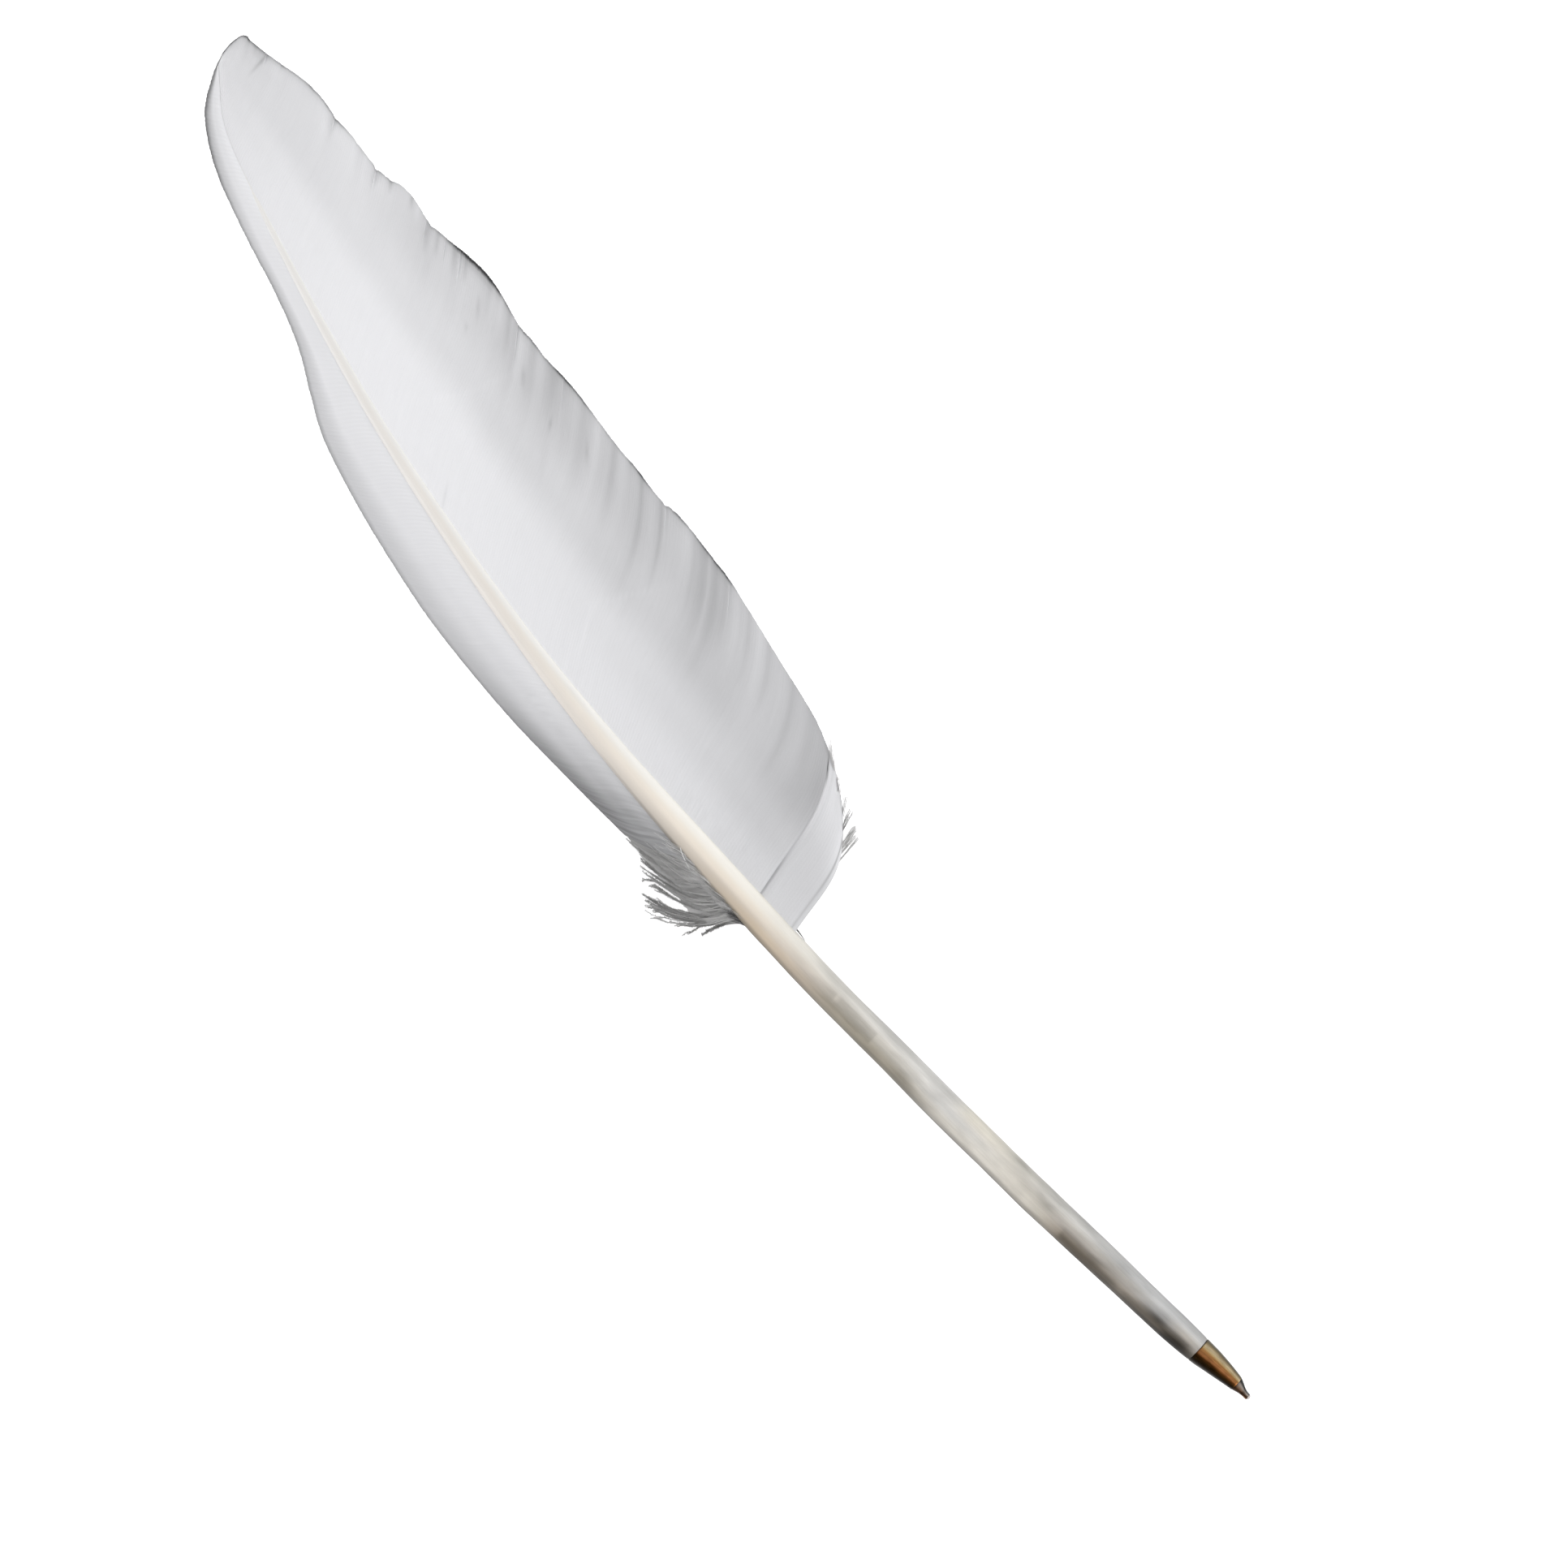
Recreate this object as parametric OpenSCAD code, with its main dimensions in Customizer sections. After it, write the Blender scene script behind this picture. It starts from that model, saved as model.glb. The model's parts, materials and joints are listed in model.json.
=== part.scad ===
// Quill pen: a goose feather whose hollow barrel holds a ballpoint refill.
//
// The pen lies on a table as it would be put down. +X points to the nib, +Y to the
// wide vane and +Z up, and the origin is under the middle of its box, on the table.
// The barrel slopes gently, so the pen rests on the barrel's mouth and on the edges
// of the vanes, and its shaft arches over the table.
//
// "Run" is the level distance from the nib's tip towards the feather's tip, and
// "depth" is the distance from the nib's tip along the sloping barrel's own axis.
// "Side" is the level distance from the barrel's axis, positive on the wide vane.

/* [Feather] */
// Level length of the feather behind the barrel
feather_len = 169.6; // [155:0.2:185]
// Slope of the barrel as the pen lies on the table, in degrees
slope = 3; // [2.5:0.25:3.5]
// Height of the shaft's end above the table
tip_rise = 0.9; // [0.8:0.1:1.4]
// Thickness of a vane where it leaves the shaft
vane_root_t = 0.5; // [0.4:0.05:0.6]
// Thickness of a vane along its edge
vane_edge_t = 0.25; // [0.2:0.05:0.3]
// Wall of the shaft's horny cortex
cortex_t = 0.3; // [0.2:0.05:0.35]

/* [Barrel] */
// Radius of the barrel's straight cylindrical stretch
barrel_r = 2.68; // [2.6:0.02:2.8]
// Radius of the barrel's mouth and of the brass point's base
mouth_r = 2.2; // [2.15:0.05:2.3]
// Radius of the barrel where the vanes' shaft begins
heel_r = 2.6; // [2.5:0.05:2.65]
// Radius of the barrel's hollow
hollow_r = 2.15; // [2.05:0.05:2.2]

/* [Refill] */
// Diameter of the writing ball
ball_d = 1; // [0.7:0.1:1]
// Outer radius of the ink tube
tube_r = 1.47; // [1.4:0.01:1.5]
// Inner radius of the ink tube
tube_bore_r = 1; // [0.9:0.05:1.05]
// Depth of the ink tube's tail
tube_tail = 80; // [70:1:80]
// Depth that the ink reaches
ink_tail = 70; // [30:1:70]

/* [Hidden] */

// Depths along the barrel
mouth = 11;                    // barrel's mouth, against the brass point's shoulder
touch = 14;                    // where the barrel rests on the table
grip_from = 38;                // start of the straight cylindrical stretch
grip_to = 66;                  // end of the straight cylindrical stretch
heel = 88;                     // end of the barrel
nose = 2.95;                   // end of the nickel-silver nib point's bare cone
shank_end = 15;                // end of the brass point's shank, where the tube starts
spigot_end = 19.5;             // end of the spigot inside the tube
bush_from = 11.6;
bush_to = 22;
hollow_from = 32;              // where the mouth's narrow bore has opened to the hollow
hollow_to = 87.9;

// Fits
gap = 0.02;                    // between pieces that are pushed or glued together
running = 0.05;                // radial clearance of the refill in its bush
mouth_bore_r = 1.8;            // bore at the mouth, which the bush fills
touch_r = 2.36;                // barrel's radius where it rests on the table
channel_r = 0.45;              // ink channel through the brass point
shank_r = 0.74;                // nib point's shank
feed_r = 0.2;                  // feed hole behind the ball
socket_gap = 0.02;             // clearance round the ball
round_fn = 96;

// Side of the shaft's centre line against its run
shaft_side = [
    [84, -0.15], [92, 0.2], [100, 0.85], [120, 2.25], [140, 4.1], [160, 6.8],
    [180, 10.6], [200, 15.3], [220, 21.2], [240, 28.1], [250, 32.5], [256.6, 38.2]
];
// Width and height of the shaft against its run
shaft_wide = [
    [88, 5.2], [100, 5.3], [120, 4.9], [140, 4], [160, 3.1], [180, 2.5],
    [200, 1.9], [220, 1.4], [240, 0.8], [256.6, 0.4]
];
shaft_high = [
    [88, 5.2], [100, 4.9], [120, 4.2], [140, 3.5], [160, 2.8], [180, 2.2],
    [200, 1.7], [220, 1.2], [240, 0.75], [256.6, 0.4]
];

// Barbs of each vane, in order along the shaft: the root's run, then the run and
// side of the barb's tip. The tips draw the vane's outline.
wide_base_barbs = [
    [100.6, 104.2, 20.6], [102.8, 108.2, 23.2], [105.2, 111.8, 25.2], [107.8, 114.8, 26.8]
];
wide_barbs = [
    [108.2, 115.6, 27], [113, 121, 29.3], [121, 130.5, 31.8], [131, 144, 35.2],
    [140, 155, 36.9], [148, 165, 37.6], [158, 174, 38.8], [168, 184, 40.2],
    [178, 193.5, 41], [189, 204, 43.4], [200, 213.5, 43.3], [211, 222, 44.2],
    [221, 230.5, 43.8], [231, 238.5, 45], [239, 245, 45.7], [246, 250.5, 45.1],
    [251, 254.6, 44.5], [254.5, 256.9, 44.4], [256, 257.6, 42.4], [256.6, 257.5, 40]
];
narrow_barbs = [
    [118.5, 129.5, -4.1], [125, 136, -4], [134, 144.5, -3.75], [144, 154, -3.35],
    [154, 164, -2.35], [165, 174.5, -0.85], [176, 185.5, 1.65], [187, 195.5, 4.45],
    [198, 205, 7.8], [206, 211.5, 11.5], [213, 218, 15.5], [222, 226, 18.9],
    [232, 236, 22.3], [242, 246, 26.4], [250, 253, 31.3], [255, 256.2, 36.4],
    [256.6, 257.5, 40]
];
downy_tips = [
    [107, 109.5, -6.4], [108.5, 112.6, -9.6], [110.5, 118.6, -10.6],
    [113, 121.6, -9], [115.8, 125.8, -6.5], [118.1, 129.1, -4.45]
];

// Height of each vane's edge above the table, against the run of the barb's tip
wide_edge_rise = [
    [104, 5], [120, 4.4], [145, 2.6], [170, 0.9], [200, 0.35], [240, 0.35], [258, 0.6]
];
narrow_edge_rise = [
    [128, 0.8], [140, 0.3], [165, 0.3], [190, 0.9], [215, 1.4], [240, 0.8], [258, 0.6]
];
downy_edge_rise = [[108, 0.7], [128, 0.7]];

// Box of the pen on the table
drawn_len = 169.6;             // feather length that the points above are drawn for
pen_len = heel + feather_len;
widest = 45.75;                // side of the wide vane's outermost edge
lowest = -10.6;                // side of the downy barbs' outermost tip
barrel_side = -0.15;
origin_side = (widest + lowest) / 2;

// ---------------------------------------------------------------- curves

function lerp(a, b, t) = a + (b - a) * t;

// Index of the stretch of a list of [x, y] points that x falls in
function stretch(p, x, i = 0) =
    i >= len(p) - 2 || x < p[i + 1][0] ? i : stretch(p, x, i + 1);

// Slope of the smooth curve at one of its points
function pitch(p, i) =
    let (a = max(i - 1, 0), b = min(i + 1, len(p) - 1))
    (p[b][1] - p[a][1]) / (p[b][0] - p[a][0]);

// Smooth curve through [x, y] points
function curve(p, x) =
    let (i = stretch(p, x), w = p[i + 1][0] - p[i][0])
    let (t = min(max((x - p[i][0]) / w, 0), 1))
    p[i][1] * (1 + 2 * t) * (1 - t) * (1 - t) + pitch(p, i) * w * t * (1 - t) * (1 - t)
    + p[i + 1][1] * t * t * (3 - 2 * t) - pitch(p, i + 1) * w * t * t * (1 - t);

// Smooth row of numbers at place u, counted in rows, of a list of rows
function row_at(rows, u) =
    let (i = min(floor(u), len(rows) - 2), t = u - i)
    let (a = rows[max(i - 1, 0)], b = rows[i], c = rows[i + 1], n = len(rows) - 1)
    let (d = rows[min(i + 2, n)])
    b + t * ((c - a) + t * ((2 * a - 5 * b + 4 * c - d) + t * (3 * b - a - 3 * c + d))) / 2;

// ---------------------------------------------------------------- places

// Run stretched for the chosen feather length
function run_of(r) = r <= heel ? r : heel + (r - heel) * feather_len / drawn_len;

// Height of the shaft's centre line
touch_rise = touch_r * cos(slope);
heel_rise = touch_rise + (heel - touch) * tan(slope);
arch = (heel_rise + drawn_len * tan(slope) - tip_rise) / (drawn_len * drawn_len);
function shaft_rise(r) =
    touch_rise + (r - touch) * tan(slope) - arch * pow(max(r - heel, 0), 2);

// A point in the pen's frame
function place(run, side, rise) = [pen_len / 2 - run_of(run), side - origin_side, rise];

function shaft_at(r) = place(r, curve(shaft_side, r), shaft_rise(r));

// Stands a piece on the barrel's axis: its own +Z runs from the nib towards the feather
module on_axis() {
    translate(place(0, barrel_side, touch_rise - touch * tan(slope)))
        rotate([0, slope - 90, 0])
            children();
}

// Revolves an outline of [radius, depth] points round the barrel's axis
module turned(outline) {
    rotate_extrude($fn = round_fn)
        polygon(outline);
}

// ---------------------------------------------------------------- closed sheets

// Two triangles on the square of grid points a, b, c, d
function square_faces(a, b, c, d) = [[a, b, c], [a, c, d]];

// Closed sheet between two grids of points, each a list of rows of the same length
module sheet(top, bottom) {
    n = len(top);
    m = len(top[0]);
    under = n * m;
    across = [for (i = [0 : n - 2], j = [0 : m - 2]) each
        square_faces(i * m + j, i * m + j + 1, (i + 1) * m + j + 1, (i + 1) * m + j)];
    rim = concat(
        [for (j = [0 : 1 : m - 1]) j],
        [for (i = [1 : 1 : n - 1]) i * m + m - 1],
        [for (j = [m - 2 : -1 : 0]) (n - 1) * m + j],
        [for (i = [n - 2 : -1 : 1]) i * m]
    );
    sides = [for (k = [0 : len(rim) - 1])
        let (a = rim[k], b = rim[(k + 1) % len(rim)])
        each square_faces(b, a, a + under, b + under)];
    polyhedron(
        points = concat([for (r = top) each r], [for (r = bottom) each r]),
        faces = concat(
            across,
            [for (f = across) [f[2] + under, f[1] + under, f[0] + under]],
            sides
        )
    );
}

// ---------------------------------------------------------------- vanes

rows_across = 9;               // points along each barb

// Share of a barb's lean at share q of its width. Barbs leave the shaft at a slant,
// stand up across the vane and bend back towards the feather's tip at its edge.
// late moves that bend to the edge, as on the lowest barbs.
function lean(q, late) = (1 - late) * (q + 0.05 * sin(360 * q)) + late * pow(q, 4);
wide_late = [[101, 0.6], [125, 0.45], [150, 0.15], [257, 0.1]];

// Height above the table at share q of a barb
function barb_rise(from, to, q) = lerp(from, to, 0.45 * q + 0.55 * q * q);

// Grid of points on a vane. barbs is the list of barbs, side is 1 on the wide vane and
// -1 on the narrow one, edge_rise gives its edge's height, and drop lowers the points
// at the root and at the edge by half the vane's thickness there.
function vane_grid(barbs, side, edge_rise, columns, root_drop, edge_drop) =
    [for (c = [0 : columns])
        let (b = row_at(barbs, c * (len(barbs) - 1) / columns))
        let (half = curve(shaft_wide, b[0]) / 2, high = curve(shaft_high, b[0]))
        let (root_side = curve(shaft_side, b[0]) + side * (half - min(0.3, half / 2)))
        let (root_rise = shaft_rise(b[0]) + 0.12 * high)
        let (late = side > 0 ? curve(wide_late, b[0]) : 0.1)
        [for (j = [0 : rows_across - 1])
            let (q = j / (rows_across - 1))
            place(
                lerp(b[0], b[1], lean(q, late)),
                lerp(root_side, b[2], q),
                barb_rise(root_rise, curve(edge_rise, b[1]), q) - lerp(root_drop, edge_drop, q)
            )]];

module vane(barbs, side, edge_rise, columns) {
    thick = [vane_root_t / 2, vane_edge_t / 2];
    sheet(
        vane_grid(barbs, side, edge_rise, columns, -thick[0], -thick[1]),
        vane_grid(barbs, side, edge_rise, columns, thick[0], thick[1])
    );
}

// Wide vane, above the split
module wide_vane() {
    color("gainsboro")
        vane(wide_barbs, 1, wide_edge_rise, 76);
}

// Lobe of the wide vane below the split
module wide_vane_base() {
    color("whitesmoke")
        vane(wide_base_barbs, 1, wide_edge_rise, 9);
}

// Narrow vane
module narrow_vane() {
    color("lightgray")
        vane(narrow_barbs, -1, narrow_edge_rise, 64);
}

// Tuft of loose down under the narrow vane's lowest barbs
module downy_barbs() {
    color("darkgray")
        vane(downy_tips, -1, downy_edge_rise, 15);
}

// Stub of a trimmed barb, lying along the shaft in front of the wide vane
module barb_stub() {
    stub_at = [99.6, 3.62];
    stub_size = [2.2, 0.3, 0.3];
    color("dimgray")
        translate(place(stub_at[0], stub_at[1], shaft_rise(stub_at[0]) + 0.4))
            rotate([0, slope, -3])
                cube(stub_size, center = true);
}

// ---------------------------------------------------------------- shaft

ring_points = 16;
ring_step = 3.5;
shaft_end = 256.6;
groove = 0.16;                 // depth of the groove below, as a share of the height
groove_from = 104;             // where the groove starts and where it is full
groove_full = 122;
hollow_shaft_end = 230;        // where the shaft gets too thin to hold pith

// Direction of the shaft's centre line
function shaft_dir(r) =
    let (d = 0.5, v = shaft_at(r + d) - shaft_at(r - d))
    v / norm(v);

// One ring of points round the shaft at run r, inside its surface by inset. The top is
// round and the sides are flatter, and a groove runs along the underside.
function shaft_ring(r, inset) =
    let (d = shaft_dir(r), side = cross([0, 0, 1], d) / norm(cross([0, 0, 1], d)))
    let (up = cross(d, side), c = shaft_at(r))
    let (a = curve(shaft_wide, r) / 2 - inset, b = curve(shaft_high, r) / 2 - inset)
    let (g = min(max((r - groove_from) / (groove_full - groove_from), 0), 1))
    let (square = lerp(1, 0.8, g))
    [for (i = [0 : ring_points - 1])
        let (t = 360 * i / ring_points, x = cos(t), y = sin(t))
        let (dent = g * groove * max(0, -y - 0.7) / 0.3)
        c + side * a * sign(x) * pow(abs(x), square)
            + up * b * (sign(y) * pow(abs(y), square) + 2 * dent)];

function ring_faces(first, rings) =
    [for (i = [0 : rings - 2], j = [0 : ring_points - 1])
        let (k = (j + 1) % ring_points, a = first + i * ring_points)
        each square_faces(a + j, a + k, a + ring_points + k, a + ring_points + j)];

function flipped(faces) = [for (f = faces) [f[2], f[1], f[0]]];

// Fan over the ring that starts at point first
function ring_cap(first) = [for (j = [1 : ring_points - 2]) [first, first + j, first + j + 1]];

function rings_between(from, to, inset) =
    let (n = ceil((to - from) / ring_step))
    [for (i = [0 : n]) shaft_ring(lerp(from, to, i / n), inset)];

// Solid between two runs of the shaft
module shaft_core(from, to, inset) {
    rings = rings_between(from, to, inset);
    n = len(rings);
    polyhedron(
        points = [for (r = rings) each r],
        faces = concat(
            flipped(ring_faces(0, n)),
            ring_cap(0),
            flipped(ring_cap((n - 1) * ring_points))
        )
    );
}

// Horny skin of the shaft, closed at the feather's tip and open towards the barrel
module rachis_cortex() {
    skin = rings_between(heel, shaft_end, 0);
    cave = rings_between(heel, hollow_shaft_end, cortex_t);
    first = len(skin) * ring_points;
    mouth_faces = [for (j = [0 : ring_points - 1])
        let (k = (j + 1) % ring_points)
        each square_faces(j, k, first + k, first + j)];
    color("linen")
        polyhedron(
            points = concat([for (r = skin) each r], [for (r = cave) each r]),
            faces = concat(
                flipped(ring_faces(0, len(skin))),
                flipped(ring_cap((len(skin) - 1) * ring_points)),
                ring_faces(first, len(cave)),
                ring_cap(first + (len(cave) - 1) * ring_points),
                mouth_faces
            )
        );
}

// Foamy pith that fills the shaft
module rachis_pith() {
    pith_from = heel + 3;
    pith_to = hollow_shaft_end - 1;
    color("ivory")
        shaft_core(pith_from, pith_to, cortex_t + 2 * gap);
}

// Hollow barrel of the feather, open at the mouth
module quill_barrel() {
    rim = mouth + gap;
    color("antiquewhite")
        on_axis()
            turned([
                [mouth_bore_r, rim], [mouth_r - 0.08, rim], [mouth_r, rim + 0.15],
                [touch_r, touch], [2.47, 18], [2.53, 26], [barrel_r, grip_from],
                [barrel_r, grip_to], [heel_r, heel - gap], [hollow_r, heel - gap],
                [hollow_r, hollow_from], [mouth_bore_r, hollow_from - 8]
            ]);
}

// Dry pulp caps left in the hollow, a nest of thin cups
module pulp_caps() {
    cup_t = 0.12;
    cup_rise = 1.2;
    cup_r = hollow_r - 0.03;
    steps = 8;
    color("wheat")
        on_axis()
            for (d = [82, 83.5, 85, 86.3])
                turned(concat(
                    [for (i = [0 : steps]) [cup_r * i / steps, d - cup_rise * pow(i / steps, 2)]],
                    [for (i = [steps : -1 : 0])
                        [cup_r * i / steps, d + cup_t - cup_rise * pow(i / steps, 2)]]
                ));
}

// ---------------------------------------------------------------- refill

// Bush glued into the mouth, which guides the refill
module mouth_bush() {
    color("white")
        on_axis()
            turned([
                [tube_r + running, bush_from], [mouth_bore_r - gap, bush_from],
                [mouth_bore_r - gap, bush_to], [tube_r + running, bush_to]
            ]);
}

// Brass point holder: rounded cone, shank in the bush and spigot in the ink tube
module point_holder() {
    steps = 12;
    nose_r = 1.2;
    bulge = 1.3;
    back = mouth - gap;
    cone = [for (i = [0 : steps])
        let (t = i / steps)
        [mouth_r - (mouth_r - nose_r) * pow(1 - t, bulge), lerp(nose, back - 0.1, t)]];
    color("darkgoldenrod")
        on_axis()
            turned(concat(
                cone,
                [
                    [mouth_r - 0.08, back], [tube_r, back], [tube_r, shank_end],
                    [tube_bore_r - gap, shank_end], [tube_bore_r - gap, spigot_end],
                    [channel_r, spigot_end], [channel_r, 6.2], [shank_r + gap, 6.2],
                    [shank_r + gap, nose]
                ]
            ));
}

// Nickel-silver nib point: bare cone, shank in the brass, socket for the ball
module nib_point() {
    ball_r = ball_d / 2;
    lip = ball_r * 0.7;
    color("silver")
        on_axis()
            difference() {
                turned([
                    [0, lip], [ball_r + 0.06, lip], [0.6, 1], [0.72, 1.6], [0.94, 2.25],
                    [1.17, nose - gap], [shank_r, nose - gap], [shank_r, 6.1], [feed_r, 6.1],
                    [feed_r, ball_r], [0, ball_r]
                ]);
                translate([0, 0, ball_r])
                    sphere(r = ball_r + socket_gap, $fn = round_fn);
            }
}

// Carbide writing ball
module writing_ball() {
    color("slategray")
        on_axis()
            translate([0, 0, ball_d / 2])
                sphere(d = ball_d, $fn = round_fn);
}

// Plastic ink tube
module ink_tube() {
    color("whitesmoke")
        on_axis()
            turned([
                [tube_bore_r, shank_end + gap], [tube_r, shank_end + gap],
                [tube_r, tube_tail], [tube_bore_r, tube_tail]
            ]);
}

// Column of ink in the tube
module ink_column() {
    color("midnightblue")
        on_axis()
            turned([
                [0, spigot_end + gap], [tube_bore_r - gap, spigot_end + gap],
                [tube_bore_r - gap, ink_tail], [0, ink_tail]
            ]);
}

quill_barrel();
rachis_cortex();
rachis_pith();
narrow_vane();
wide_vane();
wide_vane_base();
downy_barbs();
barb_stub();
pulp_caps();
mouth_bush();
point_holder();
nib_point();
writing_ball();
ink_tube();
ink_column();
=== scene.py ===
import json
import math

import bpy
import numpy as np
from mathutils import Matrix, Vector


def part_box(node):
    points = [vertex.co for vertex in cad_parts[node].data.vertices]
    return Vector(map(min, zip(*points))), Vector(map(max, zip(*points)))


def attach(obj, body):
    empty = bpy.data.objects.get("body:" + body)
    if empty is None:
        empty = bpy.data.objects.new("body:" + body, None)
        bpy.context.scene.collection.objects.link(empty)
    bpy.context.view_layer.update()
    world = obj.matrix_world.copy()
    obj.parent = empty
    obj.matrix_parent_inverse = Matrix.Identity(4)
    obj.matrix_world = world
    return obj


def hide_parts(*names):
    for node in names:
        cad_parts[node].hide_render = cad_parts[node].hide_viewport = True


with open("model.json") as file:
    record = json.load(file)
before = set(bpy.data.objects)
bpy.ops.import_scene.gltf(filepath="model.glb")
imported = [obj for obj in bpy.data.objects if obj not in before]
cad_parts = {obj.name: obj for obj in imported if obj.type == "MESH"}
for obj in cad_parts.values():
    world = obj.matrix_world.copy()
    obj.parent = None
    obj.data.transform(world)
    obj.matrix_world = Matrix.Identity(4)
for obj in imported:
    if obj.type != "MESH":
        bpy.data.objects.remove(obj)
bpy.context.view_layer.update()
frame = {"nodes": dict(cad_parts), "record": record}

# Quill pen: the looks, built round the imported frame.
#
# Lengths are in millimetres until a mesh is made. As in the part, "run" is the level
# distance from the nib's tip towards the feather's tip, "side" is the level distance from
# the barrel's axis, positive on the wide vane, and "rise" is the height above the table.

# ---------------------------------------------------------------- places from the frame

MM = 0.001
BARREL_SIDE = -0.15
HEEL = 88.0  # run where the barrel ends and the shaft starts
SHAFT_END = 256.6
PEN_END = 257.6  # run of the feather's tip
TIP_RISE = 0.9  # height of the shaft's end, as in the part

grip = next(m for m in frame["record"]["mounts"] if m["name"] == "barrel")
SLOPE = -grip["axis"][2] / grip["axis"][0]
TILT = math.cos(math.atan(SLOPE))
NIB_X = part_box("writing_ball")[1].x / MM
GRIP_RUN = NIB_X - grip["pos_m"][0] / MM
GRIP_RISE = grip["pos_m"][2] / MM
SIDE_0 = grip["pos_m"][1] / MM - BARREL_SIDE
# The shaft bends down from the barrel's line as a parabola, and ends at TIP_RISE
ARCH = (GRIP_RISE + (PEN_END - GRIP_RUN) * SLOPE - TIP_RISE) / (PEN_END - HEEL) ** 2


def place(run, side, rise):
    """Points in the frame, in metres."""
    run, side, rise = np.broadcast_arrays(run, side, rise)
    return np.stack([NIB_X - run, side + SIDE_0, rise], axis=-1) * MM


def placed(points):
    """One list of points in the frame, from any grid of run, side and rise."""
    return place(*np.moveaxis(points, -1, 0)).reshape(-1, 3)


# ---------------------------------------------------------------- curves and noise


def lerp(a, b, t):
    """a where t is 0, b where it is 1."""
    return a + (b - a) * t


def smooth(x, low, high):
    """0 below low, 1 above high, and a smooth step between them."""
    t = np.clip((x - low) / (high - low), 0, 1)
    return t * t * (3 - 2 * t)


def bump(x, middle, half):
    """1 at the middle, fading to 0 about two halves away."""
    return np.exp(-(((x - middle) / half) ** 2))


def wobble(x, period, seed):
    """Smooth noise from -1 to 1, with one free value every period."""
    values = np.random.default_rng(seed).uniform(-1, 1, 4096)
    t = np.asarray(x, float) / period + 700
    i = np.floor(t).astype(int)
    f = t - i
    f = f * f * (3 - 2 * f)
    return lerp(values[i % 4096], values[(i + 1) % 4096], f)


def curve(points, x):
    """Smooth curve through [x, y] points, the same one that the part's outlines use."""
    p = np.array(points, float)
    k = np.arange(len(p))
    a, b = np.maximum(k - 1, 0), np.minimum(k + 1, len(p) - 1)
    slope = (p[b, 1] - p[a, 1]) / (p[b, 0] - p[a, 0])
    i = np.clip(np.searchsorted(p[:, 0], x, side="right") - 1, 0, len(p) - 2)
    width = p[i + 1, 0] - p[i, 0]
    t = np.clip((x - p[i, 0]) / width, 0, 1)
    return (
        p[i, 1] * (1 + 2 * t) * (1 - t) ** 2
        + slope[i] * width * t * (1 - t) ** 2
        + p[i + 1, 1] * t * t * (3 - 2 * t)
        - slope[i + 1] * width * t * t * (1 - t)
    )


def blended(columns, along, x):
    """Value at x between columns of (x, curve), each curve read at a place along the pen."""
    low, points = columns[0]
    value = curve(points, along)
    for high, points in columns[1:]:
        value = lerp(value, curve(points, along), smooth(x, low, high))
        low = high
    return value


def row_at(rows, u):
    """Smooth row of numbers at places u, counted in rows."""
    r = np.array(rows, float)
    last = len(r) - 1
    i = np.clip(np.floor(u).astype(int), 0, last - 1)
    t = (u - i)[:, None]
    a, b, c, d = r[np.maximum(i - 1, 0)], r[i], r[i + 1], r[np.minimum(i + 2, last)]
    return b + t * ((c - a) + t * ((2 * a - 5 * b + 4 * c - d) + t * (3 * b - a - 3 * c + d))) / 2


def bezier(points, steps):
    """Smooth path drawn by its control points, as a number of points."""
    p = np.array(points, float)
    t = np.linspace(0, 1, steps)[:, None]
    n = len(p) - 1
    return sum(math.comb(n, k) * (1 - t) ** (n - k) * t**k * p[k] for k in range(n + 1))


# ---------------------------------------------------------------- outlines

# Close to the part's own. The barrel bows sideways here where the part's is straight, the
# base lobe and the down have outlines of their own, and the vanes' edges lie higher in places.

# Side of the quill's centre line, its width and its height, by run
SHAFT_SIDE = [
    [11, -0.15], [14, -0.22], [20, -0.32], [30, -0.36], [45, -0.5], [55, -0.38], [65, -0.28],
    [75, 0], [84, 0.18], [92, 0.4], [100, 0.85], [120, 2.25], [140, 4.1], [160, 6.8],
    [180, 10.6], [200, 15.3], [220, 21.2], [240, 28.1], [250, 32.5], [256.6, 38.2],
]
BARREL_GIRTH = [
    [11.1, 4.3], [11.4, 4.42], [14, 4.72], [18, 4.94], [26, 5.1], [38, 5.36], [66, 5.36],
    [88, 5.2],
]
SHAFT_WIDE = BARREL_GIRTH + [
    [100, 5.3], [120, 4.9], [140, 4], [160, 3.1], [180, 2.5], [200, 1.9], [220, 1.4],
    [240, 0.8], [256.6, 0.4],
]
SHAFT_HIGH = BARREL_GIRTH + [
    [100, 4.9], [120, 4.2], [140, 3.5], [160, 2.8], [180, 2.2], [200, 1.7], [220, 1.2],
    [240, 0.75], [256.6, 0.4],
]
# Barbs of each vane: the root's run, then the run and side of the barb's tip
BASE_BARBS = [
    [100.2, 104.3, 18.2], [102.6, 108, 22], [105.2, 111.8, 24.8], [107.8, 114.8, 26.8],
    [109.6, 116.6, 27.2],
]
WIDE_BARBS = [
    [108.2, 115.6, 27], [113, 121, 29.3], [121, 130.5, 31.8], [131, 144, 35.2],
    [140, 155, 36.9], [148, 165, 37.6], [158, 174, 38.8], [168, 184, 40.2],
    [178, 193.5, 41], [189, 204, 43.4], [200, 213.5, 43.3], [211, 222, 44.2],
    [221, 230.5, 43.8], [231, 238.5, 45], [239, 245, 45.7], [246, 250.5, 45.1],
    [251, 254.6, 44.5], [254.5, 256.9, 44.4], [256, 257.6, 42.4], [256.6, 257.5, 40],
]
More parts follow.
